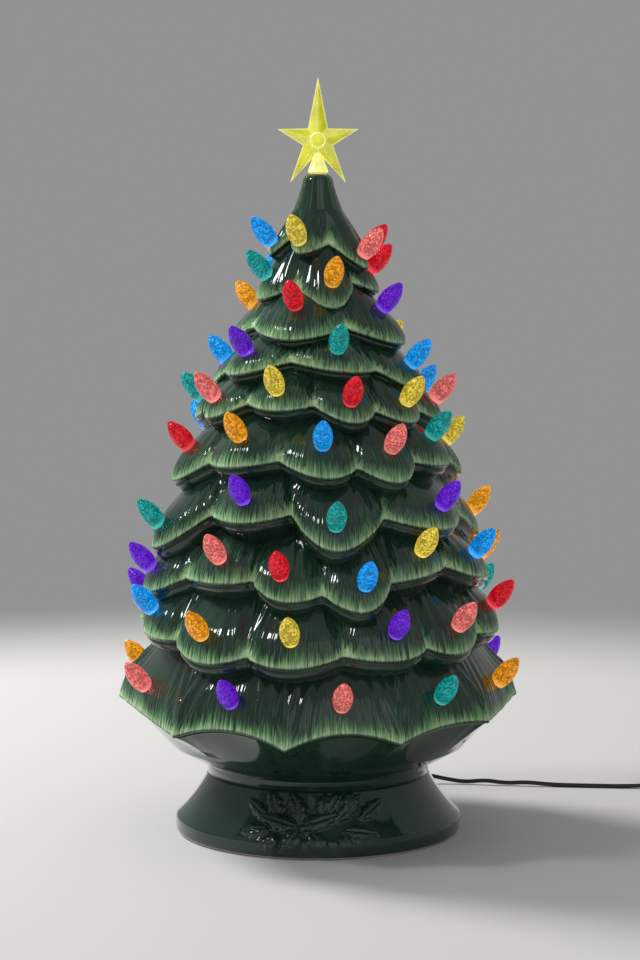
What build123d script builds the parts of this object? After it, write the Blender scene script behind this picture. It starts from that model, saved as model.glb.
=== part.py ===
"""Lighted ceramic Christmas tree: a slip-cast tree on its own foot, plastic bulbs, a star and a lamp kit.

Millimetres, +Z up. The origin is the centre of the foot ring, and the front faces -Y.
"""
import math
import os
from collections import namedtuple

from build123d import *

# Overall ceramic sizes
WALL = 6.0                  # thickness of the cast walls
NECK_WALL = 10.8            # thickness of the ring that the tree stands on
FOOT_RING = 10.2            # width of the ring that the base stands on, with its rounded edge
BAND_WALL = 8.4             # thickness of the base at the top of its band
CROWN_ROOF = 9.0            # ceramic above the hollow of the tree
SHAFT_TIERS = 3             # the boughs of the top tiers are solid round a plain shaft
WEDGES = 6                  # the casting is stored in this many solids
WEDGE_START = 5.0           # angle of the first plane between them
FOOT_RADIUS = 116.5         # widest radius of the base
FOOT_HEIGHT = 48.0          # base, from the table to the seam under the tree
FOOT_EDGE = 4.0             # rounding of its lower edge
FOOT_BAND = 12.5            # top of the upright band at its foot
FLARE_INSET = 2.0           # the flare starts this far inside the band
FLARE_RISE = 2.4            # and this far above it
FLARE_SAG = 1.2             # how hollow the flare is
NECK_RADIUS = 90.5          # tree and base meet at this radius
NECK_RISE = 8.0             # short neck of the tree above the seam
POINT_RADIUS = 161.0        # widest radius of the tree, at the points of its bottom tier
CROWN_HEIGHT = 533.0        # top of the ceramic
CROWN_RADIUS = 12.4
CROWN_SHOULDER = 6.2        # rounding of its edge
CROWN_ROOT_RADIUS = 19.0    # where the top tier starts
CROWN_LENGTH = 27.0         # from there up
CROWN_ROOT_HEIGHT = CROWN_HEIGHT - CROWN_LENGTH

# Boughs, as shares of a tier's radius unless they say otherwise
KNEE_REACH = 0.03           # a bough bends down at its knee, this far inside its lip
KNEE_RISE = 0.11            # and this far above it
KNEE_IN_CREASE = 0.5        # the knee is this much smaller in the creases
UNDER_REACH = 0.12          # the next tier starts this far inside the creases
UNDER_DROP = 0.085          # and this far below them
VALLEY_DEPTH = 0.5          # the deepest creases cut in this share of the way from lip to root
VALLEY_LIMIT = 0.75         # but no deeper than this share of half the way to the next bough
VALLEY_RISE = 0.3           # lips rise to the deepest creases by this share of the tier's drop
BOUGH_SLOPE = 0.45          # a bough that droops one millimetre more reaches out by this much
ROOT_INSET = 2.0            # each tier starts inside the one above it
ROOT_RISE = 5.0
HIDDEN_INSET = 8.0          # and ends inside the one below it
HIDDEN_DROP = 2.0

# Bottom tier, which hangs in points
POINT_RISE = 55.0           # above the seam
POINT_HEIGHT = FOOT_HEIGHT + POINT_RISE
CREST_INSET = 7.0           # its lip halfway between the points, inside them
CREST_RISE = 5.0            # and above them
CREST_RADIUS = POINT_RADIUS - CREST_INSET
CREST_HEIGHT = POINT_HEIGHT + CREST_RISE
BELT_INSET = 39.0           # edge where the bowl under it turns in to the neck
BELT_DROP = 28.5
BELT_RADIUS = POINT_RADIUS - BELT_INSET
BELT_HEIGHT = POINT_HEIGHT - BELT_DROP

# Hollow inside the boughs, as shares of the wall
HOLLOW_ROOT = 0.8           # in and down from a tier's root
HOLLOW_REACH = 1.2          # in from its knees and from its hidden end
HOLLOW_DROP = 0.9           # down from its knees
BOWL_REACH = 2.0            # in from the crests of the bottom tier
BOWL_RISE = 1.5             # up from them to the widest place
BELT_REACH = 0.4            # in from the belt
BELT_RISE = 1.1             # up from it

# Bulbs
BULB_LENGTH = 29.5
BULB_RADIUS = 8.2
COLLAR_RADIUS = 5.8
BULB_TIP_RADIUS = 3.0
BULB_TIP_ANGLE = 25.0       # where the round tip runs into the sides
PEG_RADIUS = 2.9
PEG_LENGTH = 9.0
PEG_CLEARANCE = 0.15
SEAT_CLEARANCE = 0.5        # between a bulb and its seat in the bough
COLLAR_GAP = 0.4            # keeps the flat collar clear of the round bough
BULB_RISE = 50.0            # degrees that the bulbs point up
BORE_OVERRUN = 1.0          # holes run on past the face that they open in

# Star
STAR_HUB_RISE = 26.5        # middle of the star above the crown
STAR_REACH = 50.5           # from there to its top
STAR_HUB_RADIUS = 6.5
STAR_THICKNESS = 15.0
STAR_EDGE = 3.0             # thickness of the star along its outline
STAR_CORNERS = ((8.0, 9.5), (32.5, 9.0), (12.0, -4.0), (22.3, -33.5), (0.0, -9.5))  # right half, from the hub
STAR_COLLAR = 3.0           # height of the collar on its stem
STAR_STEM_RADIUS = 3.6
STAR_STEM_LENGTH = 12.0     # how deep the stem sits in the crown
STAR_CLEARANCE = 0.3

# Seats
SEAT_GAP = 0.2              # tree on base, before the weight settles
RIM_GAP = 1.5               # play between the base's locating rim and the neck's bore
RIM_HEIGHT = 6.0
RIM_WIDTH = 6.0
DECK_DROP = 6.0             # the deck lies this far under the seam

# Lamp kit
SOCKET_RADIUS = 11.0
SOCKET_RISE = 14.0          # above the deck
SOCKET_DEPTH = 16.0         # below the top of the deck
SOCKET_FLANGE_RADIUS = 17.0
SOCKET_FLANGE = 3.0
SOCKET_FLOOR = 6.0
SOCKET_CLEARANCE = 0.3
SHELL_WALL = 0.6            # brass screw shell
SHELL_DROP = 1.0            # it ends this far under the holder's top
CAP_RADIUS = 5.9            # candelabra screw cap
CAP_CLEARANCE = 0.3
CONTACT_RADIUS = 2.4
CONTACT_HEIGHT = 1.2
LAMP_TIP_HEIGHT = 1.5
LAMP_RADIUS = 11.0
LAMP_LENGTH = 38.0
LAMP_NECK_RADIUS = 6.5
LAMP_TIP_RADIUS = 2.5
CLIP_THICKNESS = 0.8
CLIP_WIDTH = 8.0
CLIP_LENGTH = 9.0
CLIP_SPREAD = 3.0
CLIP_FOOT = 1.0
CLIP_GAP = 0.2

# Cord
CORD_DIAMETER = 3.6
CORD_ROUNDING = 0.45        # arcs use up this share of the shorter run on each side of a corner
RELIEF_HEIGHT = 9.0         # height of the cord hole in the back of the foot
RELIEF_RADIUS = 4.6
RELIEF_FLANGE_RADIUS = 6.4
RELIEF_FLANGE = 2.0
RELIEF_TAIL = 24.0          # tapered sleeve outside
RELIEF_TAIL_RADIUS = 2.6
RELIEF_CLEARANCE = 0.25
LEAD_BEND = 15.0            # bend of the lead under the socket

# Put-away coil
COIL_CENTRE = (316.0, 173.0)
COIL_RADIUS = 25.0          # outermost turn
COIL_STEP = 4.15            # from turn to turn and from layer to layer
COIL_LAYERS = 4
COIL_TURNS = 2.5            # turns in each layer
COIL_CLIMB = 0.5            # part of a turn in which the cord climbs to the next layer
COIL_EXTRA_TURN = 0.25      # a last quarter turn points the tail at the plug
COIL_SAMPLES = 10           # points on each arc that its gap to itself is measured at
COIL_NEIGHBOURS = 22        # points along the cord that are too near each other to count
TIE_WIDTH = 7.0
TIE_WALL = 0.8
TIE_GAP = 0.35
TIE_ANGLE = 200.0
FLOOR_GAP = 0.05
FLOOR_CORD = FLOOR_GAP + CORD_DIAMETER / 2

# Switch on the cord, behind the base
SWITCH_LENGTH = 46.0
SWITCH_WIDTH = 20.0
SWITCH_HEIGHT = 15.0
SWITCH_WALL = 1.8
SWITCH_ROUND = 4.0
SWITCH_CENTRE = (62.0, 170.0)
ROCKER_LENGTH = 15.0
ROCKER_WIDTH = 8.0
ROCKER_DEPTH = 1.5          # below its pin
ROCKER_RISE = 6.2           # ends above its pin
ROCKER_DIP = 1.2            # how far the middle lies below the ends
ROCKER_TILT = 8.0           # degrees to each side of level
ROCKER_GAP = 0.6
ROCKER_PIN_RADIUS = 1.2
ROCKER_PIN_HEIGHT = 10.4
PIN_CLEARANCE = 0.06
PIN_BOSS = 3.0
SCREW_SPREAD = 17.0
SCREW_RADIUS = 1.4
SCREW_HEAD_RADIUS = 2.5
SCREW_HEAD = 1.4
SCREW_LENGTH = 10.0
SCREW_POST_RADIUS = 3.0
SCREW_CLEARANCE = 0.1
SCREW_SINK = 0.4            # heads lie this far inside the case
SCREW_END = 0.5             # and the screws end this far before their holes

# Plug
PLUG_PLACE = (334.0, 218.0)
PLUG_TURN = 112.0           # degrees from +X
PLUG_LENGTH = 27.0
PLUG_WIDTH = 22.0
PLUG_HEIGHT = 14.0
PLUG_ROUND = 4.0
PLUG_NOSE = 14.0
PLUG_NOSE_RADIUS = 5.0
BLADE_LENGTH = 17.5
BLADE_WIDTH = 6.35
BLADE_THICKNESS = 1.5
BLADE_SPACING = 12.7

COLOURS = {
    "r": "red",
    "p": "pink",
    "o": "orange",
    "y": "yellow",
    "t": "teal",
    "b": "blue",
    "u": "purple",
}


def turned(front):
    """Angles of a whole tier, whose back half is its front half turned round."""
    return tuple(front) + tuple(angle + 180 for angle in front)


# Tiers from the top: radius and height of the tips, depth of the creases from 0 to 1, place of the bulbs
# from root to knee, then each bough's angle (0 is the front, 90 the right), how much higher its tip is,
# and its bulb's colour.
# They are written for a tree with the radius and the height above the seam given first, and stretch with it.
TABLE_RADIUS = 161.0
TABLE_HEIGHT = 485.0
Tier = namedtuple("Tier", "radius height crease seat angles lifts colours")
TIER_TABLE = [
    Tier(44, 414, 1.0, 0.9, (-72, -23, 58, 108, 165, 232), (7, 9, -3, 0, 4, 0), "byprto"),
    Tier(51, 388, 0.9, 0.75, (-68, 14, 85, 150, 221), (-2, -8, 4, 0, 0), "torpb"),
    Tier(73, 354, 0.7, 0.6, turned((-19, 66)), (2, -3) * 2, "rubo"),
    Tier(87, 322, 0.7, 0.75, turned((-49, 12, 68)), (6, 10, -9) * 2, "utbyrb"),
    Tier(100, 289, 0.55, 0.9, turned((-62, -21, 16, 48, 84)), (4, 13, 4, 2, 0) * 2, "pyrypbotut"),
    Tier(116, 251, 0.55, 0.75, turned((-76, -37, 2, 33, 62)), (-9, 7, 1, -4, 5) * 2, "robptyuorb"),
    Tier(134, 202, 0.9, 0.96, turned((-70, -28, 6, 50)), (-12, 15, -4, 7) * 2, "tutuobry"),
    Tier(
        141, 162, 0.45, 0.96, turned((-73, -35, -12, 15, 38, 68)), (-8, 8, -2, -10, 13, 5) * 2, "uprbybotyupt"
    ),
    Tier(
        152, 114, 0.35, 0.96, turned((-66, -37, -8, 24, 48, 77)), (8, -4, -4, 0, 0, 8) * 2, "boyuprtrboyu"
    ),
]
TIERS = [
    tier._replace(
        radius=tier.radius * POINT_RADIUS / TABLE_RADIUS,
        height=FOOT_HEIGHT + tier.height * (CROWN_HEIGHT - FOOT_HEIGHT) / TABLE_HEIGHT,
    )
    for tier in TIER_TABLE
]
# The bottom tier has its bulbs between its points.
POINT_ANGLES = turned((-44, -9, 23, 56, 92))
POINT_LIFTS = (-4, -7, -4, 3, 8) * 2
POINT_SEAT = 0.97
POINT_COLOURS = "uptoubyrop"


def polar(radius, angle, height):
    """A point at an angle from the front, 90 degrees being the right."""
    turn = math.radians(angle)
    return Vector(radius * math.sin(turn), -radius * math.cos(turn), height)


def halfway(start, end):
    """The angle in the middle of the way round from one angle up to another."""
    return start + ((end - start) % 360) / 2


def arc(start, middle, end):
    return Edge.make_three_point_arc(start, middle, end)


def section(radius, height, size, bend=1.0):
    """Knee and lip of a bough as (radius, height)."""
    knee = (radius - bend * KNEE_REACH * size, height + bend * KNEE_RISE * size)
    return knee, (radius, height)


def tips(tier):
    """Radius and height of each bough's tip."""
    return [(tier.radius - BOUGH_SLOPE * lift, tier.height + lift) for lift in tier.lifts]


def creases(tier, root):
    """Angle, lip radius and lip height of each crease, the first one before the first bough."""
    deepest = tier.crease * VALLEY_DEPTH * (tier.radius - root[0])
    rise = tier.crease * VALLEY_RISE * (root[1] - tier.height)
    found = []
    for i, angle in enumerate(tier.angles):
        gap = (angle - tier.angles[i - 1]) % 360
        lift = (tier.lifts[i - 1] + tier.lifts[i]) / 2
        half_way = tier.radius * math.sin(math.radians(min(gap, 90) / 2))
        radius = tier.radius - BOUGH_SLOPE * lift - min(deepest, VALLEY_LIMIT * half_way)
        found.append((angle - gap / 2, radius, tier.height + lift + rise))
    return found


def under(tier, root):
    """Root of the next tier and the hidden end of this one, both inside the casting."""
    valleys = creases(tier, root)
    inner = min(radius for _, radius, _ in valleys) - UNDER_REACH * tier.radius
    upper = max(height for _, _, height in valleys) - UNDER_DROP * tier.radius
    lower = min(height for _, height in tips(tier)) - UNDER_DROP * tier.radius
    return (inner - ROOT_INSET, upper + ROOT_RISE), (inner - HIDDEN_INSET, lower - HIDDEN_DROP)


def level(stops, places):
    """A parabola for each bough, from crease to crease, with its tip halfway."""
    count = len(stops)
    curves = []
    for i in range(0, count, 2):
        around = (i, i + 1, (i + 2) % count)
        start, tip, end = [polar(places[j][0], stops[j], places[j][1]) for j in around]
        curves.append(Edge.make_bezier(start, 2 * tip - (start + end) / 2, end))
    return curves


def circle_level(stops, place):
    """Arcs over the same angles on a plain circle."""
    count = len(stops)
    arcs = []
    for i in range(0, count, 2):
        start, end = stops[i], stops[(i + 2) % count]
        arcs.append(arc(*[polar(place[0], angle, place[1]) for angle in (start, halfway(start, end), end)]))
    return arcs


def ring_solid(levels):
    """A tier: ruled faces from level to level, closed by flat faces at the first and the last circle."""
    faces = [Face(Wire(levels[0])), Face(Wire(levels[-1]))]
    for upper, lower in zip(levels, levels[1:]):
        faces += [Face.make_surface_from_curves(one, other) for one, other in zip(upper, lower)]
    return Solid(Shell(faces))


def tier_solid(tier, root, hidden):
    """Round tongues that bend down at their knees and meet in creases."""
    stops, sections = [], []
    for angle, (crease_angle, radius, height), tip in zip(tier.angles, creases(tier, root), tips(tier)):
        stops += [crease_angle, angle]
        sections += [section(radius, height, tier.radius, KNEE_IN_CREASE), section(*tip, tier.radius)]
    edges = [level(stops, [places[k] for places in sections]) for k in range(2)]
    return ring_solid([circle_level(stops, root), *edges, circle_level(stops, hidden)])


def skirt_solid(root):
    """The bottom tier: points, with the lip drawn in and up between them, and the bowl down to the neck."""
    stops, sections = [], []
    for i, (angle, lift) in enumerate(zip(POINT_ANGLES, POINT_LIFTS)):
        after = POINT_ANGLES[(i + 1) % len(POINT_ANGLES)]
        stops += [angle, halfway(angle, after)]
        sections.append(section(POINT_RADIUS, POINT_HEIGHT + lift, POINT_RADIUS))
        sections.append(section(CREST_RADIUS, CREST_HEIGHT, CREST_RADIUS))
    edges = [level(stops, [places[k] for places in sections]) for k in range(2)]
    bowl = [(BELT_RADIUS, BELT_HEIGHT), (NECK_RADIUS, FOOT_HEIGHT + NECK_RISE)]
    return ring_solid([circle_level(stops, root), *edges, *[circle_level(stops, place) for place in bowl]])


def turned_solid(points):
    """Revolves a closed outline of (radius, height) points round the tree's axis."""
    outline = Polyline(*[(radius, 0, height) for radius, height in points], close=True)
    return revolve(make_face(outline), Axis.Z)


def crown():
    """The smooth top above the first tier, with a rounded shoulder."""
    foot = (CROWN_ROOT_RADIUS, CROWN_ROOT_HEIGHT)
    side = (CROWN_RADIUS, CROWN_HEIGHT - CROWN_SHOULDER)
    edge = (CROWN_RADIUS - CROWN_SHOULDER, CROWN_HEIGHT)
    with BuildPart() as top:
        with BuildSketch(Plane.XZ):
            with BuildLine():
                Polyline((0, CROWN_ROOT_HEIGHT), foot, side)
                TangentArc(side, edge, tangent=(side[0] - foot[0], side[1] - foot[1]))
                Polyline(edge, (0, CROWN_HEIGHT), (0, CROWN_ROOT_HEIGHT))
            make_face()
        revolve(axis=Axis.Z)
    return top.part


def hollow_tier(tier, root, hidden):
    """The hollow of a tier's boughs, one wall inside its skin."""
    stops, rims = [], []
    for angle, (crease_angle, radius, height), tip in zip(tier.angles, creases(tier, root), tips(tier)):
        stops += [crease_angle, angle]
        for knee, _ in (section(radius, height, tier.radius, KNEE_IN_CREASE), section(*tip, tier.radius)):
            rims.append((knee[0] - HOLLOW_REACH * WALL, knee[1] - HOLLOW_DROP * WALL))
    top = circle_level(stops, (root[0] - HOLLOW_ROOT * WALL, root[1] - HOLLOW_ROOT * WALL))
    bottom = circle_level(stops, (hidden[0] - HOLLOW_REACH * WALL, hidden[1]))
    return ring_solid([top, level(stops, rims), bottom])


def cavity():
    """The hollow inside the tree: a shaft under the crown, the wide boughs and the bowl at the bottom."""
    narrowest = CROWN_ROOT_RADIUS - WALL
    shaft = [(narrowest, CROWN_ROOT_HEIGHT)]
    rings = []
    root = (CROWN_ROOT_RADIUS, CROWN_ROOT_HEIGHT)
    for i, tier in enumerate(TIERS):
        next_root, hidden = under(tier, root)
        if i < SHAFT_TIERS:
            shaft.append((max(hidden[0] - WALL, narrowest), hidden[1]))
        else:
            rings.append(hollow_tier(tier, root, hidden))
        root = next_root
    stem = STAR_STEM_RADIUS + STAR_CLEARANCE
    roof = CROWN_HEIGHT - CROWN_ROOF
    upper = turned_solid([(0, roof), (stem, roof), *shaft, (0, shaft[-1][1])])
    widest = CREST_RADIUS - BOWL_REACH * WALL
    bowl = turned_solid([
        (0, root[1] - WALL),
        (root[0] - WALL, root[1] - WALL),
        (widest, CREST_HEIGHT + BOWL_RISE * WALL),
        (widest, CREST_HEIGHT),
        (BELT_RADIUS - BELT_REACH * WALL, BELT_HEIGHT + BELT_RISE * WALL),
        (neck_bore(), FOOT_HEIGHT + NECK_RISE + BELT_REACH * WALL),
        (neck_bore(), FOOT_HEIGHT - WALL),
        (0, FOOT_HEIGHT - WALL),
    ])
    return upper.fuse(*rings, bowl)


def egg(length, radius, foot, tip_radius, tip_angle):
    """Outline of a long egg from its flat foot (radius, height) to the axis, widest at a third."""
    rise = math.radians(tip_angle)
    shoulder = (tip_radius * math.cos(rise), length - tip_radius + tip_radius * math.sin(rise))
    middle = math.radians((90 + tip_angle) / 2)
    crown_point = (tip_radius * math.cos(middle), length - tip_radius + tip_radius * math.sin(middle))
    sides = ThreePointArc(foot, (radius, length / 3), shoulder)
    tip = ThreePointArc(shoulder, crown_point, (0, length))
    return sides, tip


def bulb():
    """One bulb, standing on the origin: peg, flat collar and a long egg."""
    foot = (COLLAR_RADIUS, COLLAR_GAP)
    with BuildPart() as lamp:
        with BuildSketch(Plane.XZ):
            with BuildLine():
                Polyline((0, -PEG_LENGTH), (PEG_RADIUS, -PEG_LENGTH), (PEG_RADIUS, COLLAR_GAP), foot)
                egg(BULB_LENGTH, BULB_RADIUS, foot, BULB_TIP_RADIUS, BULB_TIP_ANGLE)
                Line((0, BULB_LENGTH), (0, -PEG_LENGTH))
            make_face()
        revolve(axis=Axis.Z)
    return lamp.part


def seat_on(solid, angle, root, knee, share):
    """Place of a bulb on a bough: on its middle line, met from outside along the bulb."""
    rise = math.radians(BULB_RISE)
    way = polar(math.cos(rise), angle, math.sin(rise))
    radius, height = [root[k] + share * (knee[k] - root[k]) for k in range(2)]
    start = polar(radius, angle, height) + way * BULB_LENGTH
    hits = solid.find_intersection_points(Axis(start, -way))
    point = min((hit[0] for hit in hits), key=lambda hit: (hit - start).length)
    return point, way


def bore_to(hollow, point, way):
    """A hole for a bulb's peg into the hollow of the tree, with a flared seat that clears the bulb."""
    hits = hollow.find_intersection_points(Axis(point, -way))
    depth = min((hit[0] - point).length for hit in hits if (hit[0] - point).dot(way) < 0)
    depth = max(depth, PEG_LENGTH) + BORE_OVERRUN
    hole = PEG_RADIUS + PEG_CLEARANCE
    rim = BULB_RADIUS + SEAT_CLEARANCE
    outline = [(0, -depth), (hole, -depth), (hole, 0), (COLLAR_RADIUS + SEAT_CLEARANCE, 0)]
    outline += [(rim, BULB_LENGTH / 3), (rim, BULB_LENGTH), (0, BULB_LENGTH)]
    return Plane(origin=point, z_dir=way) * turned_solid(outline)


def ceramic_tree():
    """The tree shell and the bulbs by colour."""
    hollow = cavity()
    pieces = [crown()]
    places = []
    root = (CROWN_ROOT_RADIUS, CROWN_ROOT_HEIGHT)
    for tier in TIERS:
        next_root, hidden = under(tier, root)
        solid = tier_solid(tier, root, hidden)
        pieces.append(solid)
        for angle, tip, colour in zip(tier.angles, tips(tier), tier.colours):
            knee, _ = section(*tip, tier.radius)
            places.append((colour, *seat_on(solid, angle, root, knee, tier.seat)))
        root = next_root
    skirt = skirt_solid(root)
    pieces.append(skirt)
    knee, _ = section(CREST_RADIUS, CREST_HEIGHT, CREST_RADIUS)
    for i, colour in enumerate(POINT_COLOURS):
        between = halfway(POINT_ANGLES[i], POINT_ANGLES[(i + 1) % len(POINT_ANGLES)])
        places.append((colour, *seat_on(skirt, between, root, knee, POINT_SEAT)))
    pieces.append(tube((0, 0, FOOT_HEIGHT + SEAT_GAP), (0, 0, FOOT_HEIGHT + NECK_RISE), NECK_RADIUS))
    body = pieces[0].fuse(*pieces[1:])
    star_hole = tube(
        (0, 0, CROWN_HEIGHT - STAR_STEM_LENGTH - WALL),
        (0, 0, CROWN_HEIGHT + BORE_OVERRUN),
        STAR_STEM_RADIUS + STAR_CLEARANCE,
    )
    bores = [bore_to(hollow, point, way) for _, point, way in places]
    body = body.cut(hollow, star_hole, *bores)
    shape = bulb()
    bulbs = {}
    for colour, point, way in places:
        bulbs.setdefault(COLOURS[colour], []).append(Plane(origin=point, z_dir=way) * shape)
    return body, bulbs


def wedges(body):
    """The casting as equal wedges round its axis, so that collision can follow its hollow."""
    step = 360 / WEDGES
    pieces = []
    for i in range(WEDGES):
        corners = [polar(2 * POINT_RADIUS, WEDGE_START + step * (i + share), 0) for share in (0, 0.5, 1)]
        sector = Face(Wire.make_polygon([Vector(0, 0, 0), *corners]))
        pieces += body.intersect(Solid.extrude(sector, Vector(0, 0, CROWN_HEIGHT + BORE_OVERRUN))).solids()
    return pieces


def tube(start, end, radius):
    """A round bar from one point to another."""
    along = Vector(*end) - Vector(*start)
    bar = Cylinder(radius, along.length, align=(Align.CENTER, Align.CENTER, Align.MIN))
    return Plane(origin=start, z_dir=along) * bar


def ceramic_base():
    """The hollow foot: a rounded band, a flare up to the seam, a deck, and a rim that centres the tree."""
    deck = FOOT_HEIGHT - DECK_DROP
    rim = neck_bore() - RIM_GAP
    hole = SOCKET_RADIUS + SOCKET_CLEARANCE
    edge = (FOOT_RADIUS - FOOT_EDGE, 0)
    side = (FOOT_RADIUS, FOOT_EDGE)
    band = (FOOT_RADIUS, FOOT_BAND)
    flare = (FOOT_RADIUS - FLARE_INSET, FOOT_BAND + FLARE_RISE)
    neck = (NECK_RADIUS, FOOT_HEIGHT)
    waist = ((flare[0] + neck[0]) / 2 - FLARE_SAG, (flare[1] + neck[1]) / 2 - FLARE_SAG)
    ring = (FOOT_RADIUS - FOOT_RING, 0)
    rounding = (1 - math.sqrt(0.5)) * FOOT_EDGE
    with BuildPart() as foot:
        with BuildSketch(Plane.XZ):
            with BuildLine():
                Line(ring, edge)
                ThreePointArc(edge, (FOOT_RADIUS - rounding, rounding), side)
                Polyline(side, band, flare)
                ThreePointArc(flare, waist, neck)
                Polyline(
                    neck,
                    (rim, FOOT_HEIGHT),
                    (rim, FOOT_HEIGHT + RIM_HEIGHT),
                    (rim - RIM_WIDTH, FOOT_HEIGHT + RIM_HEIGHT),
                    (rim - RIM_WIDTH, deck),
                    (hole, deck),
                    (hole, deck - WALL),
                    (NECK_RADIUS, deck - WALL),
                    (FOOT_RADIUS - BAND_WALL, FOOT_BAND),
                    ring,
                )
            make_face()
        revolve(axis=Axis.Z)
    cord_hole = tube(
        (0, FOOT_RADIUS - 2 * FOOT_RING, RELIEF_HEIGHT),
        (0, FOOT_RADIUS + BORE_OVERRUN, RELIEF_HEIGHT),
        RELIEF_RADIUS + RELIEF_CLEARANCE,
    )
    return foot.part - cord_hole


def neck_bore():
    """Radius of the opening under the tree."""
    return NECK_RADIUS - NECK_WALL


def star():
    """Five points with a long top one, ridged on both faces, with a round hub and a stem for the crown."""
    hub = CROWN_HEIGHT + STAR_HUB_RISE
    side = [(x, hub + z) for x, z in STAR_CORNERS]
    outline = [(0.0, hub + STAR_REACH)] + side + [(-x, z) for x, z in reversed(side[:-1])]
    edge = STAR_EDGE / 2
    faces = []
    for (x0, z0), (x1, z1) in zip(outline, outline[1:] + outline[:1]):
        corners = [(x0, -edge, z0), (x1, -edge, z1), (x1, edge, z1), (x0, edge, z0)]
        faces.append(Face(Wire.make_polygon(corners)))
        for out in (-1, 1):
            peak = (0, out * STAR_THICKNESS / 2, hub)
            faces.append(Face(Wire.make_polygon([(x0, out * edge, z0), (x1, out * edge, z1), peak])))
    points = Solid(Shell(faces))
    button = Pos(0, 0, hub) * Rot(90, 0, 0) * Cylinder(STAR_HUB_RADIUS, STAR_THICKNESS)
    stem = tube((0, 0, CROWN_HEIGHT - STAR_STEM_LENGTH), (0, 0, hub), STAR_STEM_RADIUS)
    collar_low = CROWN_HEIGHT + STAR_CLEARANCE
    collar = tube((0, 0, collar_low), (0, 0, collar_low + STAR_COLLAR), 2 * STAR_STEM_RADIUS)
    return points.fuse(button, stem, collar)


def socket_levels():
    """Heights in the lamp holder: deck, its bottom, its floor, and its top."""
    deck = FOOT_HEIGHT - DECK_DROP
    bottom = deck - SOCKET_DEPTH
    return deck, bottom, bottom + SOCKET_FLOOR, deck + SOCKET_RISE


def lamp_holder():
    """Holder pushed through the deck, its screw shell, centre contact and two spring clips."""
    deck, bottom, floor, top = socket_levels()
    bore = CAP_RADIUS + CAP_CLEARANCE + SHELL_WALL
    barrel = tube((0, 0, bottom), (0, 0, top), SOCKET_RADIUS)
    flange = tube((0, 0, deck), (0, 0, deck + SOCKET_FLANGE), SOCKET_FLANGE_RADIUS)
    holder = barrel + flange - tube((0, 0, floor), (0, 0, top), bore)
    shell_top = (0, 0, top - SHELL_DROP)
    shell = tube((0, 0, floor), shell_top, bore) - tube((0, 0, floor), shell_top, bore - SHELL_WALL)
    contact = tube((0, 0, floor), (0, 0, floor + CONTACT_HEIGHT), CONTACT_RADIUS)
    clip_top = deck - WALL - CLIP_GAP
    clips = []
    for side in (-1, 1):
        near = side * SOCKET_RADIUS
        far = side * (SOCKET_RADIUS + CLIP_SPREAD)
        skin = side * CLIP_THICKNESS
        with BuildPart() as clip:
            with BuildSketch(Plane.XZ):
                with BuildLine():
                    Polyline(
                        (near, clip_top - CLIP_LENGTH),
                        (far, clip_top),
                        (far + skin, clip_top),
                        (near + skin, clip_top - CLIP_LENGTH - CLIP_FOOT),
                        (near, clip_top - CLIP_LENGTH - CLIP_FOOT),
                        close=True,
                    )
                make_face()
            extrude(amount=CLIP_WIDTH / 2, both=True)
        clips.append(clip.part - barrel)
    return holder, shell, contact, clips


def lamp():
    """Candelabra lamp: screw cap, tip contact and a candle-shaped globe."""
    _, _, floor, top = socket_levels()
    tip_low = floor + CONTACT_HEIGHT + CAP_CLEARANCE
    cap_low = tip_low + LAMP_TIP_HEIGHT
    cap_top = top + CAP_CLEARANCE
    tip = tube((0, 0, tip_low), (0, 0, cap_low), CONTACT_RADIUS - CAP_CLEARANCE)
    cap = tube((0, 0, cap_low), (0, 0, cap_top), CAP_RADIUS)
    with BuildPart() as globe:
        with BuildSketch(Plane.XZ):
            with BuildLine():
                Line((0, 0), (LAMP_NECK_RADIUS, 0))
                egg(LAMP_LENGTH, LAMP_RADIUS, (LAMP_NECK_RADIUS, 0), LAMP_TIP_RADIUS, BULB_TIP_ANGLE)
                Line((0, LAMP_LENGTH), (0, 0))
            make_face()
        revolve(axis=Axis.Z)
    return cap, tip, Pos(0, 0, cap_top) * globe.part


def strain_relief():
    """Rubber bush in the cord hole, with a flange outside and a tapered tail."""
    inner = FOOT_RADIUS - 2 * WALL
    face = FOOT_RADIUS + RELIEF_CLEARANCE
    bush = tube((0, inner, RELIEF_HEIGHT), (0, face, RELIEF_HEIGHT), RELIEF_RADIUS)
    flange = tube((0, face, RELIEF_HEIGHT), (0, face + RELIEF_FLANGE, RELIEF_HEIGHT), RELIEF_FLANGE_RADIUS)
    tail = Plane(origin=(0, face + RELIEF_FLANGE, RELIEF_HEIGHT), z_dir=(0, 1, 0)) * Cone(
        RELIEF_RADIUS, RELIEF_TAIL_RADIUS, RELIEF_TAIL, align=(Align.CENTER, Align.CENTER, Align.MIN)
    )
    return bush + flange + tail, inner, face + RELIEF_FLANGE + RELIEF_TAIL


def cord_along(name, points):
    """A round cord along straight runs joined by the largest arcs that they allow."""
    points = [Vector(*point) for point in points]
    radii = []
    for before, corner, after in zip(points, points[1:], points[2:]):
        turn = (corner - before).get_angle(after - corner)
        shorter = min((corner - before).length, (after - corner).length)
        radii.append(CORD_ROUNDING * shorter / math.tan(math.radians(turn / 2)))
    path = FilletPolyline(*points, radius=radii)
    return swept_cord(name, path, radii)


def swept_cord(name, path, radii):
    """Sweeps the cord's round section and prints how it came out."""
    disc = Plane(origin=path @ 0, z_dir=path % 0) * Circle(CORD_DIAMETER / 2)
    solid = sweep(disc, path=path)
    plain = math.pi * CORD_DIAMETER ** 2 / 4 * path.length
    print(f"{name}: {path.length:.1f} mm, volume {solid.volume / plain:.4f} of section times length,",
          "radii", [round(radius, 1) for radius in radii])
    return solid


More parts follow.
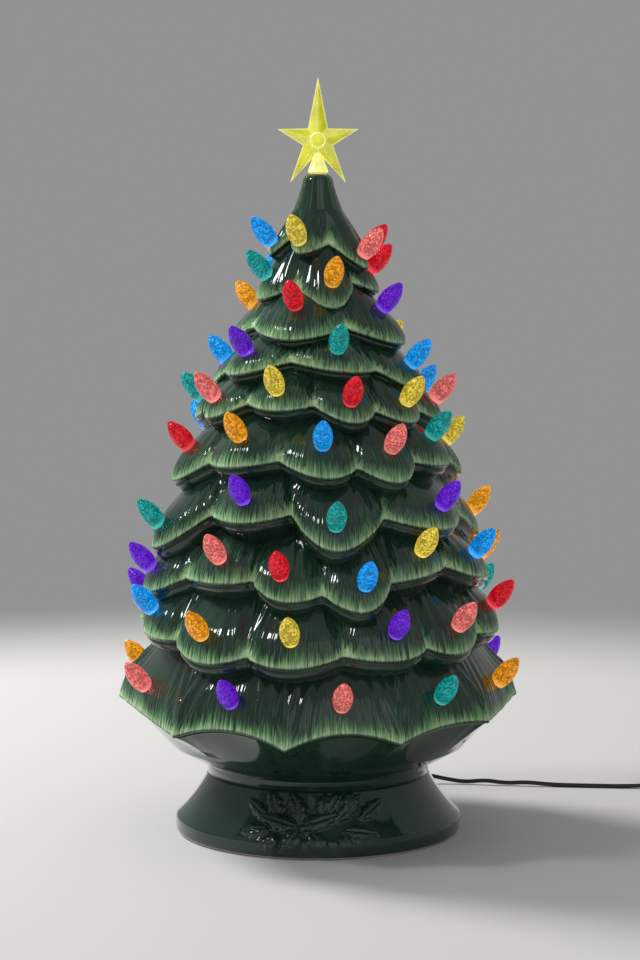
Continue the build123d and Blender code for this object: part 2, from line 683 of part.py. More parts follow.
def biarc(start, start_way, end, end_way):
    """Two arcs that join two points along given directions."""
    chord = end - start
    both = start_way + end_way
    spread = 2 * (1 - start_way.dot(end_way))
    lean = chord.dot(both)
    reach = (-lean + math.sqrt(lean ** 2 + spread * chord.dot(chord))) / spread
    joint = (start + end + (start_way - end_way) * reach) * 0.5
    first = Edge.make_tangent_arc(start, start_way, joint)
    return [first, Edge.make_tangent_arc(joint, first % 1, end)]


def coil_place(turn):
    """Point of the coil after so many turns: layers spiral in and out, and climb at each reversal."""
    layer = min(int(turn / COIL_TURNS), COIL_LAYERS - 1)
    inside = turn - layer * COIL_TURNS
    wound = inside if layer % 2 == 0 else COIL_TURNS - inside
    radius = COIL_RADIUS - COIL_STEP * wound
    climb = 0
    for done in range(1, COIL_LAYERS):
        climb += min(max((turn - done * COIL_TURNS) / COIL_CLIMB + 0.5, 0), 1)
    return polar(radius, 360 * turn, coil_height() + COIL_STEP * climb) + Vector(*COIL_CENTRE, 0)


def coil_height():
    """Middle of the cord in the lowest layer, which lies on the tie."""
    return FLOOR_GAP + TIE_WALL + TIE_GAP + CORD_DIAMETER / 2


def coil_way(turn, last):
    """Direction of the coil, level and square to the radius at its two ends."""
    if turn in (0, last):
        angle = math.radians(360 * turn)
        return Vector(math.cos(angle), math.sin(angle), 0)
    step = 0.02
    return (coil_place(turn + step) - coil_place(turn - step)).normalized()


def cord_coil():
    """The put-away length: one unbroken tube, with a straight end at each side."""
    last = COIL_LAYERS * COIL_TURNS + COIL_EXTRA_TURN
    stops = [half / 2 for half in range(int(2 * last) + 1)]
    if stops[-1] < last:
        stops.append(last)
    first_way = coil_way(0, last)
    last_way = coil_way(last, last)
    entry = coil_place(0) - first_way * CORD_DIAMETER
    leave = coil_place(last) + last_way * CORD_DIAMETER
    edges = [Edge.make_line(entry, coil_place(0))]
    for turn, after in zip(stops, stops[1:]):
        edges += biarc(coil_place(turn), coil_way(turn, last), coil_place(after), coil_way(after, last))
    edges.append(Edge.make_line(coil_place(last), leave))
    path = Wire(edges)
    radii = [edge.radius for edge in edges[1:-1]]
    solid = swept_cord("cord_coil", path, (min(radii), max(radii)))
    samples = [edge @ (part / COIL_SAMPLES) for edge in edges for part in range(COIL_SAMPLES)]
    apart = [
        (one - other).length
        for i, one in enumerate(samples)
        for other in samples[i + COIL_NEIGHBOURS:]
    ]
    print(f"cord_coil: least gap to itself {min(apart) - CORD_DIAMETER:.2f} mm")
    return solid, entry, leave


def coil_tie():
    """A flat strap round the bundle of turns."""
    inner = COIL_RADIUS - COIL_STEP * COIL_TURNS - CORD_DIAMETER / 2 - TIE_GAP
    outer = COIL_RADIUS + COIL_STEP * COIL_EXTRA_TURN + CORD_DIAMETER / 2 + TIE_GAP
    low = FLOOR_GAP + TIE_WALL
    high = coil_height() + COIL_STEP * (COIL_LAYERS - 1) + CORD_DIAMETER / 2 + TIE_GAP
    middle = ((inner + outer) / 2, (low + high) / 2)
    width, height = outer - inner, high - low
    with BuildPart() as strap:
        with BuildSketch(Plane.XZ):
            with Locations(middle):
                RectangleRounded(width + 2 * TIE_WALL, height + 2 * TIE_WALL, 2 * TIE_WALL)
                RectangleRounded(width, height, TIE_WALL, mode=Mode.SUBTRACT)
        extrude(amount=TIE_WIDTH / 2, both=True)
    return Pos(*COIL_CENTRE, 0) * Rot(0, 0, TIE_ANGLE) * strap.part


def switch_block(height, low):
    """A slab of the switch housing with its rounded corners."""
    block = extrude(RectangleRounded(SWITCH_LENGTH, SWITCH_WIDTH, SWITCH_ROUND), amount=height)
    return Pos(0, 0, low) * block


def switch():
    """Housing halves, rocker and two screws, centred on the origin with the cord along X."""
    half = SWITCH_HEIGHT / 2
    length, width = SWITCH_LENGTH - 2 * SWITCH_WALL, SWITCH_WIDTH - 2 * SWITCH_WALL
    tray = extrude(RectangleRounded(length, width, SWITCH_ROUND - SWITCH_WALL), amount=half - SWITCH_WALL)
    lower = switch_block(half, 0) - Pos(0, 0, SWITCH_WALL) * tray
    upper = switch_block(half, half) - Pos(0, 0, half) * tray
    screws = []
    head_top = FLOOR_GAP + SCREW_SINK + SCREW_HEAD
    for side in (-1, 1):
        x = side * SCREW_SPREAD
        hole = SCREW_RADIUS + SCREW_CLEARANCE
        lower += tube((x, 0, SWITCH_WALL / 2), (x, 0, half), SCREW_POST_RADIUS)
        upper += tube((x, 0, half), (x, 0, SWITCH_HEIGHT - SWITCH_WALL / 2), SCREW_POST_RADIUS)
        lower -= tube((x, 0, 0), (x, 0, head_top + SCREW_CLEARANCE), SCREW_HEAD_RADIUS + SCREW_CLEARANCE)
        lower -= tube((x, 0, 0), (x, 0, half), hole)
        upper -= tube((x, 0, half), (x, 0, head_top + SCREW_LENGTH + SCREW_END), hole)
        head = tube((x, 0, head_top - SCREW_HEAD), (x, 0, head_top), SCREW_HEAD_RADIUS)
        screws.append(head + tube((x, 0, head_top), (x, 0, head_top + SCREW_LENGTH), SCREW_RADIUS))
    swing = math.radians(ROCKER_TILT)
    window = ROCKER_LENGTH * math.cos(swing) + 2 * ROCKER_RISE * math.sin(swing) + 2 * ROCKER_GAP
    upper -= Pos(0, 0, SWITCH_HEIGHT) * Box(window, ROCKER_WIDTH + 2 * ROCKER_GAP, 4 * SWITCH_WALL)
    boss_low = ROCKER_PIN_HEIGHT - 2 * ROCKER_PIN_RADIUS
    boss_high = SWITCH_HEIGHT - SWITCH_WALL / 2
    boss = Box(4 * ROCKER_PIN_RADIUS, PIN_BOSS, boss_high - boss_low)
    for side in (-1, 1):
        boss_y = side * (ROCKER_WIDTH / 2 + ROCKER_GAP + PIN_BOSS / 2)
        upper += Pos(0, boss_y, (boss_low + boss_high) / 2) * boss
    pin_reach = ROCKER_WIDTH / 2 + PIN_BOSS
    bore_reach = pin_reach + ROCKER_GAP
    pin_bore = ROCKER_PIN_RADIUS + PIN_CLEARANCE
    upper -= tube((0, -bore_reach, ROCKER_PIN_HEIGHT), (0, bore_reach, ROCKER_PIN_HEIGHT), pin_bore)
    ends = ROCKER_LENGTH / 2
    with BuildPart() as rocker:
        with BuildSketch(Plane.XZ):
            with BuildLine():
                Polyline(
                    (-ends, ROCKER_RISE),
                    (0, ROCKER_RISE - ROCKER_DIP),
                    (ends, ROCKER_RISE),
                    (ends, 0),
                    (ends / 2, -ROCKER_DEPTH),
                    (-ends / 2, -ROCKER_DEPTH),
                    (-ends, 0),
                    close=True,
                )
            make_face()
        extrude(amount=ROCKER_WIDTH / 2, both=True)
    key = rocker.part + tube((0, -pin_reach, 0), (0, pin_reach, 0), ROCKER_PIN_RADIUS)
    key = Pos(0, 0, ROCKER_PIN_HEIGHT) * Rot(0, ROCKER_TILT, 0) * key
    place = Pos(*SWITCH_CENTRE, FLOOR_GAP)
    return place * lower, place * upper, place * key, [place * screw for screw in screws]


def plug():
    """Moulded two-blade plug along +X from the end of its nose, and its blades."""
    profile = Plane.YZ * RectangleRounded(PLUG_WIDTH, PLUG_HEIGHT, PLUG_ROUND)
    grip = Pos(PLUG_NOSE, 0, 0) * extrude(profile, amount=PLUG_LENGTH)
    grip = fillet(grip.edges().group_by(Axis.X)[0], PLUG_ROUND / 2)
    nose = Plane(origin=(0, 0, 0), z_dir=(1, 0, 0)) * Cone(
        RELIEF_TAIL_RADIUS, PLUG_NOSE_RADIUS, PLUG_NOSE, align=(Align.CENTER, Align.CENTER, Align.MIN)
    )
    front = PLUG_NOSE + PLUG_LENGTH
    blade = Box(BLADE_LENGTH, BLADE_THICKNESS, BLADE_WIDTH)
    blades = [Pos(front + BLADE_LENGTH / 2, side * BLADE_SPACING / 2, 0) * blade for side in (-1, 1)]
    return grip + nose, blades


def cords():
    """Every stretch of cord from the lamp holder to the plug, along routes chosen by hand."""
    _, bottom, _, _ = socket_levels()
    relief, relief_in, relief_out = strain_relief()
    mid = FLOOR_GAP + SWITCH_HEIGHT / 2
    entry = SWITCH_CENTRE[0] - SWITCH_LENGTH / 2
    leave = SWITCH_CENTRE[0] + SWITCH_LENGTH / 2
    row = SWITCH_CENTRE[1]
    lead = [(0, 0, bottom), (0, 0, RELIEF_HEIGHT), (0, relief_in, RELIEF_HEIGHT)]
    lead_path = FilletPolyline(*lead, radius=LEAD_BEND)
    stretches = {"cord_in_base": swept_cord("cord_in_base", lead_path, [LEAD_BEND])}
    start = relief_out
    stretches["cord_to_switch"] = cord_along("cord_to_switch", [
        (0, start, RELIEF_HEIGHT),
        (0, start + 8.5, RELIEF_HEIGHT),
        (4.2, start + 18, RELIEF_HEIGHT - 0.6),
        (13.5, row - 2.6, mid + 0.3),
        (26, row, mid),
        (entry, row, mid),
    ])
    coil, coil_in, coil_out = cord_coil()
    stretches["cord_coil"] = coil
    stretches["cord_run"] = cord_along("cord_run", [
        (leave, row, mid),
        (97, row, mid),
        (112, 168.4, 4.4),
        (130, 166.2, FLOOR_CORD),
        (147, 163.0, 4.4),
        (165, 160.6, FLOOR_CORD + 0.2),
        (183, 158.2, 3.6),
        (205, 155.0, FLOOR_CORD),
        (237, 151.6, FLOOR_CORD),
        (269, 148.7, FLOOR_CORD),
        (294, coil_in.Y, coil_in.Z),
        (coil_in.X, coil_in.Y, coil_in.Z),
    ])
    plug_height = FLOOR_GAP + PLUG_HEIGHT / 2
    plug_way = math.radians(PLUG_TURN)
    stretches["cord_tail"] = cord_along("cord_tail", [
        (coil_out.X, coil_out.Y, coil_out.Z),
        (coil_out.X, coil_out.Y + 9, coil_out.Z),
        (coil_out.X - 0.6, coil_out.Y + 19, coil_out.Z - 3.2),
        (PLUG_PLACE[0] - 10 * math.cos(plug_way), PLUG_PLACE[1] - 10 * math.sin(plug_way), plug_height),
        (*PLUG_PLACE, plug_height),
    ])
    return relief, stretches


def save(name, shape):
    """Writes one node, a single solid or a group of them."""
    whole = Compound(children=list(shape)) if isinstance(shape, list) else shape
    export_step(whole, f"parts/{name}.step")


def main():
    os.makedirs("parts", exist_ok=True)
    body, bulbs = ceramic_tree()
    save("ceramic_tree", wedges(body))
    for colour, solids in bulbs.items():
        save(f"{colour}_bulbs", solids)
    save("ceramic_base", ceramic_base())
    save("tree_star", star())
    holder, shell, contact, clips = lamp_holder()
    save("lamp_holder", holder)
    save("holder_screw_shell", shell)
    save("holder_contact", contact)
    save("holder_clips", clips)
    cap, tip, globe = lamp()
    save("lamp_cap", cap)
    save("lamp_tip", tip)
    save("lamp_globe", globe)
    relief, stretches = cords()
    save("cord_relief", relief)
    for name, solid in stretches.items():
        save(name, solid)
    save("coil_tie", coil_tie())
    lower, upper, key, screws = switch()
    save("switch_lower", lower)
    save("switch_upper", upper)
    save("switch_rocker", key)
    save("switch_screws", screws)
    grip, blades = plug()
    place = Pos(*PLUG_PLACE, FLOOR_GAP + PLUG_HEIGHT / 2) * Rot(0, 0, PLUG_TURN)
    save("plug_body", place * grip)
    save("plug_blades", [place * blade for blade in blades])


main()
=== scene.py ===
"""Looks of the lighted ceramic tree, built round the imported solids. Metres, +Z up, front towards -Y."""
import math

import bpy
import numpy as np
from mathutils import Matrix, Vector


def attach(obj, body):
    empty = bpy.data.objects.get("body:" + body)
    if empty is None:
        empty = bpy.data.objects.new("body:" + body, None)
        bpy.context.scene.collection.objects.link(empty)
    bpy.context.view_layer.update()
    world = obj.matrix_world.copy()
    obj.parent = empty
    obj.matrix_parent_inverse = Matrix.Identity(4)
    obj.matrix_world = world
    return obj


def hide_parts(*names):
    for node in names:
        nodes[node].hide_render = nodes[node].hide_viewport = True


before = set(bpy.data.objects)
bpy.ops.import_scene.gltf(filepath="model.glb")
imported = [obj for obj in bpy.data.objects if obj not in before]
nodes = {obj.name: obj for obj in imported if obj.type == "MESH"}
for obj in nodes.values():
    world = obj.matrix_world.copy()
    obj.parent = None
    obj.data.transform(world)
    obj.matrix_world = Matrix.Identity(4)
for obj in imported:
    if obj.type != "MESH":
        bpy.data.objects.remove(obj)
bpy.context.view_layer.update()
MM = 0.001


def turned(front):
    """Angles of a whole tier, whose back half is its front half turned round."""
    return tuple(front) + tuple(angle + 180 for angle in front)


# Sizes and places in millimetres and degrees, as in the part's source.
# A tier: tip radius and height, depth of the creases, then each bough's angle and lift.
TIERS = [
    (44, 462, 1.0, (-72, -23, 58, 108, 165, 232), (7, 9, -3, 0, 4, 0)),
    (51, 436, 0.9, (-68, 14, 85, 150, 221), (-2, -8, 4, 0, 0)),
    (73, 402, 0.7, turned((-19, 66)), (2, -3) * 2),
    (87, 370, 0.7, turned((-49, 12, 68)), (6, 10, -9) * 2),
    (100, 337, 0.55, turned((-62, -21, 16, 48, 84)), (4, 13, 4, 2, 0) * 2),
    (116, 299, 0.55, turned((-76, -37, 2, 33, 62)), (-9, 7, 1, -4, 5) * 2),
    (134, 250, 0.9, turned((-70, -28, 6, 50)), (-12, 15, -4, 7) * 2),
    (141, 210, 0.45, turned((-73, -35, -12, 15, 38, 68)), (-8, 8, -2, -10, 13, 5) * 2),
    (152, 162, 0.35, turned((-66, -37, -8, 24, 48, 77)), (8, -4, -4, 0, 0, 8) * 2),
]
POINT_ANGLES = turned((-44, -9, 23, 56, 92))
POINT_LIFTS = (-4, -7, -4, 3, 8) * 2
POINT = (161, 103)
CREST = (154, 108)
BELT = (122, 74.5)
KNEE_REACH, KNEE_RISE, KNEE_IN_CREASE = 0.03, 0.11, 0.5
UNDER_REACH, UNDER_DROP = 0.12, 0.085
VALLEY_DEPTH, VALLEY_LIMIT, VALLEY_RISE = 0.5, 0.75, 0.3
BOUGH_SLOPE = 0.45
CROWN_ROOT = (19.0, 506.0)
CROWN = (12.4, 533.0)
NECK = (90.5, 56.0)
SEAM = 48.2
BORE = 79.7
WALL = 6.0

# Colours, the lists with their places on a ramp
GLAZE = (0.006, 0.022, 0.013)
POOLED_GLAZE = [(0.3, (0.005, 0.02, 0.012)), (0.7, (0.012, 0.042, 0.024))]
SAGE_PAINT = [(0.1, (0.03, 0.09, 0.04)), (0.38, (0.12, 0.26, 0.12)), (0.6, (0.45, 0.64, 0.35))]
COMBED_PAINT = (0.045, 0.115, 0.058)
BARE_CLAY = [(0.3, (0.5, 0.4, 0.3)), (0.7, (0.68, 0.57, 0.45))]
STAR_TINT = [(0.3, (0.4, 0.38, 0.008)), (0.7, (0.72, 0.72, 0.05))]
# the star's lighter colour along its edges, ridges, hub and stem is painted light
STAR_PAINTED_LIGHT = (0.95, 0.95, 0.4)
BULB_COLOURS = {
    "red": (0.72, 0.004, 0.02),
    "pink": (0.85, 0.2, 0.18),
    "orange": (0.88, 0.37, 0.008),
    "yellow": (0.74, 0.58, 0.06),
    "teal": (0.001, 0.35, 0.33),
    "blue": (0.0005, 0.35, 0.9),
    "purple": (0.15, 0.008, 0.66),
}


# Materials
def material(name, colour, roughness=0.4, **inputs):
    """A material with one Principled shader, whose plain values are set on its own sockets."""
    made = bpy.data.materials.new(name)
    made.use_nodes = True
    shader = made.node_tree.nodes["Principled BSDF"]
    shader.inputs["Base Color"].default_value = (*colour, 1)
    shader.inputs["Roughness"].default_value = roughness
    for key, value in inputs.items():
        shader.inputs[key.replace("_", " ")].default_value = value
    return made, made.node_tree, shader


def add(tree, kind, **settings):
    """A new node with its settings."""
    node = tree.nodes.new(kind)
    for key, value in settings.items():
        setattr(node, key, value)
    return node


def math_node(tree, operation, first, second=None, third=None):
    """Result of an operation on numbers or sockets."""
    node = add(tree, "ShaderNodeMath", operation=operation)
    for slot, value in enumerate((first, second, third)):
        if value is None:
            continue
        if isinstance(value, (int, float)):
            node.inputs[slot].default_value = value
        else:
            tree.links.new(value, node.inputs[slot])
    return node.outputs[0]


def noise(tree, vector, scale, detail=3.0):
    """Soft noise, mostly near 0.5."""
    node = add(tree, "ShaderNodeTexNoise")
    node.inputs["Scale"].default_value = scale
    node.inputs["Detail"].default_value = detail
    tree.links.new(vector, node.inputs["Vector"])
    return node.outputs["Fac"]


def coordinates(tree):
    """Places in the piece's own frame, in metres."""
    return add(tree, "ShaderNodeTexCoord").outputs["Object"]


def smooth(tree, value, low, high):
    """A soft step from 0 at low to 1 at high."""
    node = add(tree, "ShaderNodeMapRange", interpolation_type="SMOOTHSTEP")
    node.inputs["From Min"].default_value = low
    node.inputs["From Max"].default_value = high
    tree.links.new(value, node.inputs["Value"])
    return node.outputs["Result"]


def ramp(tree, factor, stops):
    """A colour between those of the stops, each one a place and a colour."""
    node = add(tree, "ShaderNodeValToRGB")
    elements = node.color_ramp.elements
    while len(elements) < len(stops):
        elements.new(0.5)
    for element, (place, colour) in zip(elements, stops):
        element.position = place
        element.color = (*colour, 1)
    tree.links.new(factor, node.inputs["Fac"])
    return node.outputs["Color"]


def bump(tree, shader, height, distance, strength=1.0):
    """Bends the shader's normals by a height."""
    node = add(tree, "ShaderNodeBump")
    node.inputs["Distance"].default_value = distance
    node.inputs["Strength"].default_value = strength
    tree.links.new(height, node.inputs["Height"])
    tree.links.new(node.outputs["Normal"], shader.inputs["Normal"])


def attribute(tree, name):
    """A value that the mesh holds for each of its points."""
    return add(tree, "ShaderNodeAttribute", attribute_name=name).outputs["Fac"]


MIX_FIRST, MIX_SECOND, MIX_RESULT = 6, 7, 2   # colour sockets of a Mix node


def mix_colour(tree, factor, first, second):
    """The first colour or socket going over into the second one."""
    node = add(tree, "ShaderNodeMix", data_type="RGBA")
    tree.links.new(factor, node.inputs["Factor"])
    for slot, value in ((MIX_FIRST, first), (MIX_SECOND, second)):
        if isinstance(value, tuple):
            node.inputs[slot].default_value = (*value, 1)
        else:
            tree.links.new(value, node.inputs[slot])
    return node.outputs[MIX_RESULT]


def brush_over(tree, shader, pooled):
    """Colour of light green paint, dry-brushed in strokes over the rims; it dulls the gloss."""
    brush = attribute(tree, "brush")
    stroke = add(tree, "ShaderNodeCombineXYZ")
    tree.links.new(attribute(tree, "across"), stroke.inputs[0])
    tree.links.new(math_node(tree, "MULTIPLY", attribute(tree, "reach"), 3.0), stroke.inputs[1])
    strokes = stroke.outputs[0]
    fine = noise(tree, strokes, 0.85, 4)
    broad = math_node(tree, "MULTIPLY", noise(tree, strokes, 0.13, 2), 0.45)
    wander = math_node(tree, "ADD", math_node(tree, "MULTIPLY", fine, 0.55), broad)
    caught = math_node(tree, "MULTIPLY_ADD", attribute(tree, "ridge"), 0.55, brush)
    edge = math_node(tree, "ADD", caught, math_node(tree, "MULTIPLY_ADD", wander, 2.6, -1.3))
    gaps = smooth(tree, noise(tree, strokes, 2.4, 3), 0.25, 0.5)
    painted = math_node(tree, "MULTIPLY", smooth(tree, edge, 0.35, 0.85), gaps)
    shade = math_node(tree, "MULTIPLY_ADD", fine, 0.7, math_node(tree, "MULTIPLY_ADD", brush, 0.6, -0.45))
    comb = smooth(tree, noise(tree, strokes, 0.9, 3), 0.48, 0.68)
    comb = math_node(tree, "MULTIPLY", comb, smooth(tree, brush, -1.3, 0.5))
    tree.links.new(math_node(tree, "MULTIPLY_ADD", painted, 0.35, 0.12), shader.inputs["Roughness"])
    tree.links.new(math_node(tree, "MULTIPLY_ADD", painted, -0.75, 1.0), shader.inputs["Coat Weight"])
    combed = mix_colour(tree, comb, pooled, COMBED_PAINT)
    return mix_colour(tree, painted, combed, ramp(tree, shade, SAGE_PAINT))


def glaze_material(name, brushed):
    """Dark green gloss glaze, with or without the brushed rims."""
    made, tree, shader = material(
        name, GLAZE, 0.1, Coat_Weight=1.0, Coat_Roughness=0.03, Specular_IOR_Level=0.12
    )
    place = coordinates(tree)
    colour = ramp(tree, noise(tree, place, 18, 4), POOLED_GLAZE)
    if brushed:
        colour = brush_over(tree, shader, colour)
    tree.links.new(colour, shader.inputs["Base Color"])
    bump(tree, shader, noise(tree, place, 90, 3), 0.0004, 0.25)
    return made


def bulb_material(name, colour):
    """Tinted clear plastic with a pebbled skin; it emits light all over, a painted stand-in for the lamp
    inside. The pebbles carry painted sparkle and painted shade, and the smooth collar is paler: clearer
    plastic, and painted light coming through it.
    """
    made, tree, shader = material(
        name, colour, 0.12, Transmission_Weight=0.35, IOR=1.4, Coat_Weight=0.15, Coat_Roughness=0.05
    )
    place = coordinates(tree)
    pebbles = add(tree, "ShaderNodeTexVoronoi", feature="SMOOTH_F1")
    pebbles.inputs["Scale"].default_value = 620
    tree.links.new(place, pebbles.inputs["Vector"])
    # painted sparkle and painted shade: the pebbles' middles are painted lighter and the ground between them
    # darker, following the bump
    painted_sparkle = ramp(tree, pebbles.outputs["Distance"], [
        (0.05, tuple(min(1, 1.7 * c + 0.015) for c in colour)),
        (0.3, colour),
        (0.6, tuple(0.35 * c for c in colour)),
    ])
    cloud = noise(tree, place, 260, 2)
    deep = mix_colour(tree, smooth(tree, cloud, 0.4, 0.75), painted_sparkle, tuple(0.4 * c for c in colour))
    # the collar end is paler: partly clearer plastic, partly painted light coming through it
    pale_collar_and_painted_light = tuple(min(1, 1.15 * c + 0.1) for c in colour)
    body = mix_colour(tree, smooth(tree, attribute(tree, "stand"), 0.5, 7.0), pale_collar_and_painted_light, deep)
    tree.links.new(body, shader.inputs["Base Color"])
    # the colour is also emitted: painted light standing in for the lamp inside
    tree.links.new(body, shader.inputs["Emission Color"])
    shader.inputs["Emission Strength"].default_value = 0.55
    bump(tree, shader, pebbles.outputs["Distance"], 0.0012, 0.8)
    return made


def grained(name, colour, roughness, scale, distance, **inputs):
    """Plain stuff with fine grain in its colour, gloss and surface."""
    made, tree, shader = material(name, colour, roughness, **inputs)
    grain = noise(tree, coordinates(tree), scale, 5)
    low = tuple(0.82 * c for c in colour)
    high = tuple(min(1, 1.15 * c) for c in colour)
    tree.links.new(ramp(tree, grain, [(0.3, low), (0.7, high)]), shader.inputs["Base Color"])
    tree.links.new(math_node(tree, "MULTIPLY_ADD", grain, 0.16, roughness - 0.08), shader.inputs["Roughness"])
    bump(tree, shader, grain, distance, 0.3)
    return made


def mesh_object(name, points, faces, stuff, body, extra=None):
    """A smooth-shaded mesh in metres that rides on a body; extra holds its point attributes."""
    mesh = bpy.data.meshes.new(name)
    mesh.from_pydata(np.asarray(points, float).tolist(), [], faces)
    mesh.polygons.foreach_set("use_smooth", [True] * len(mesh.polygons))
    for key, values in (extra or {}).items():
        mesh.attributes.new(key, "FLOAT", "POINT").data.foreach_set("value", np.asarray(values, np.float32))
    mesh.update()
    made = bpy.data.objects.new(name, mesh)
    bpy.context.scene.collection.objects.link(made)
    made.data.materials.append(stuff)
    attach(made, body)
    return made


def grid_faces(rows, columns, start=0, flip=False):
    """Quads of a grid, row by row, that closes round its columns."""
    faces = []
    for row in range(rows - 1):
        for column in range(columns):
            after = (column + 1) % columns
            here, below = start + row * columns, start + (row + 1) * columns
            quad = [here + column, here + after, below + after, below + column]
            faces.append(quad[::-1] if flip else quad)
    return faces


# Camera, floor and lights
CAMERA_PLACE = (0.0016, -2.2, 0.509)
CAMERA_DIP = 5.78       # degrees below the level
CAMERA_LENS = 102.3
SEEN_GREY = 0.29        # the studio as the camera and the reflections see it
SOFT_GREY = 0.42        # the soft light that it gives
KEY_PLACE = (-1.75, 1.1, 2.0)
GLINT_PLACE = (-1.55, -0.5, 2.0)
FILL_PLACE = (0.9, -2.8, 1.6)

scene = bpy.context.scene
scene.view_settings.view_transform = "Standard"
camera = bpy.data.cameras.new("camera")
camera.lens = CAMERA_LENS
camera.sensor_width = 36.0
eye = bpy.data.objects.new("camera", camera)
eye.location = CAMERA_PLACE
eye.rotation_euler = (math.radians(90 - CAMERA_DIP), 0, 0)
scene.collection.objects.link(eye)
scene.camera = eye


def lamp(name, place, target, size, energy, colour=(1, 1, 1), mirrored=True):
    """A round soft lamp; one that isn't mirrored gives light but no bright spots in the glaze."""
    light = bpy.data.lights.new(name, "AREA")
    light.shape = "DISK"
    light.size = size
    light.energy = energy
    light.color = colour
    made = bpy.data.objects.new(name, light)
    made.location = place
    way = Vector(target) - Vector(place)
    made.rotation_euler = way.to_track_quat("-Z", "Y").to_euler()
    made.visible_glossy = mirrored
    scene.collection.objects.link(made)


lamp("key_left", KEY_PLACE, (0, 0, 0.2), size=0.9, energy=92, colour=(1, 0.98, 0.95), mirrored=False)
lamp("glints", GLINT_PLACE, (0, 0, 0.2), size=0.4, energy=14)
lamp("front_fill", FILL_PLACE, (0, 0, 0.3), size=3.0, energy=8)

world = bpy.data.worlds.new("studio")
world.use_nodes = True
sky = world.node_tree
seen = sky.nodes["Background"]
seen.inputs["Color"].default_value = (SEEN_GREY, SEEN_GREY, SEEN_GREY, 1)
soft = add(sky, "ShaderNodeBackground")
soft.inputs["Color"].default_value = (SOFT_GREY, SOFT_GREY, SOFT_GREY, 1)
ray = add(sky, "ShaderNodeLightPath").outputs
mirrored_ray = math_node(sky, "MAXIMUM", ray["Is Glossy Ray"], ray["Is Transmission Ray"])
choice = add(sky, "ShaderNodeMixShader")
sky.links.new(math_node(sky, "MAXIMUM", ray["Is Camera Ray"], mirrored_ray), choice.inputs[0])
sky.links.new(soft.outputs[0], choice.inputs[1])
sky.links.new(seen.outputs[0], choice.inputs[2])
sky.links.new(choice.outputs[0], sky.nodes["World Output"].inputs["Surface"])
scene.world = world

FLOOR_RADIUS = 1.5
FLOOR_SIDES = 120
FLOOR_FADE = (0.72, 1.3)   # the paper goes over into the grey studio between these radii
floor_stuff = grained("floor_paper", (0.55, 0.55, 0.55), 0.75, 1400, 0.00002)
floor_tree = floor_stuff.node_tree
from_middle = add(floor_tree, "ShaderNodeVectorMath", operation="LENGTH")
floor_tree.links.new(coordinates(floor_tree), from_middle.inputs[0])
faded = smooth(floor_tree, from_middle.outputs["Value"], *FLOOR_FADE)
floor_end = floor_tree.nodes["Material Output"].inputs["Surface"]
paper = floor_end.links[0].from_socket
fade = add(floor_tree, "ShaderNodeMixShader")
clear = add(floor_tree, "ShaderNodeBsdfTransparent")
floor_tree.links.new(faded, fade.inputs[0])
floor_tree.links.new(paper, fade.inputs[1])
floor_tree.links.new(clear.outputs[0], fade.inputs[2])
floor_tree.links.new(fade.outputs[0], floor_end)
floor_turns = [math.radians(360 / FLOOR_SIDES * step) for step in range(FLOOR_SIDES)]
floor_mesh = bpy.data.meshes.new("floor")
floor_points = [(FLOOR_RADIUS * math.cos(a), FLOOR_RADIUS * math.sin(a), 0) for a in floor_turns]
floor_mesh.from_pydata(floor_points, [], [list(range(len(floor_points)))])
floor = bpy.data.objects.new("floor", floor_mesh)
scene.collection.objects.link(floor)
floor.data.materials.append(floor_stuff)

# Cord
CORD_RADIUS = 1.8
COIL_CENTRE = (316.0, 173.0)
COIL_RADIUS = 25
COIL_STRETCH = 1.013    # a NURBS curve runs a little inside its points
COIL_PITCH = 4.15       # from turn to turn and from layer to layer
COIL_LAYERS, LAYER_TURNS = 4, 2.5
COIL_FOOT = 3.0
COIL_STEPS = 16         # points for each turn
LEAD_ROUTE = [
    (0, 142.75, 9), (0, 151.25, 9), (4.2, 160.75, 8.4), (13.5, 167.4, 7.85), (26, 170, 7.55), (39, 170, 7.55),
]
RUN_ROUTE = [
    (85, 170, 7.55), (97, 170, 7.55), (112, 168.4, 4.4), (130, 166.2, 1.85), (147, 163, 4.4),
    (165, 160.6, 2.05), (183, 158.2, 3.6), (205, 155, 1.85), (237, 151.6, 1.85), (269, 148.7, 1.85),
    (294, 148, 3), (312.4, 148, 3),
]
TAIL_ROUTE = [
    (342.04, 176.6, 15.45), (342.04, 185.6, 15.45), (341.44, 195.6, 12.25),
    (337.75, 208.73, 7.05), (334, 218, 7.05),
]
cord_stuff = grained("cord_sheath", (0.012, 0.012, 0.012), 0.35, 400, 0.0001)


def coil_point(turn):
    """The coil of the part's source: four layers that spiral in and out."""
    layer = min(int(turn / LAYER_TURNS), COIL_LAYERS - 1)
    inside = turn - layer * LAYER_TURNS
    wound = inside if layer % 2 == 0 else LAYER_TURNS - inside
    radius = COIL_STRETCH * (COIL_RADIUS - COIL_PITCH * wound)
    changes = range(1, COIL_LAYERS)
    climb = sum(min(max((turn - level * LAYER_TURNS + 0.25) / 0.5, 0), 1) for level in changes)
    angle = math.radians(360 * turn)
    x, y = radius * math.sin(angle), -radius * math.cos(angle)
    return COIL_CENTRE[0] + x, COIL_CENTRE[1] + y, COIL_FOOT + COIL_PITCH * climb


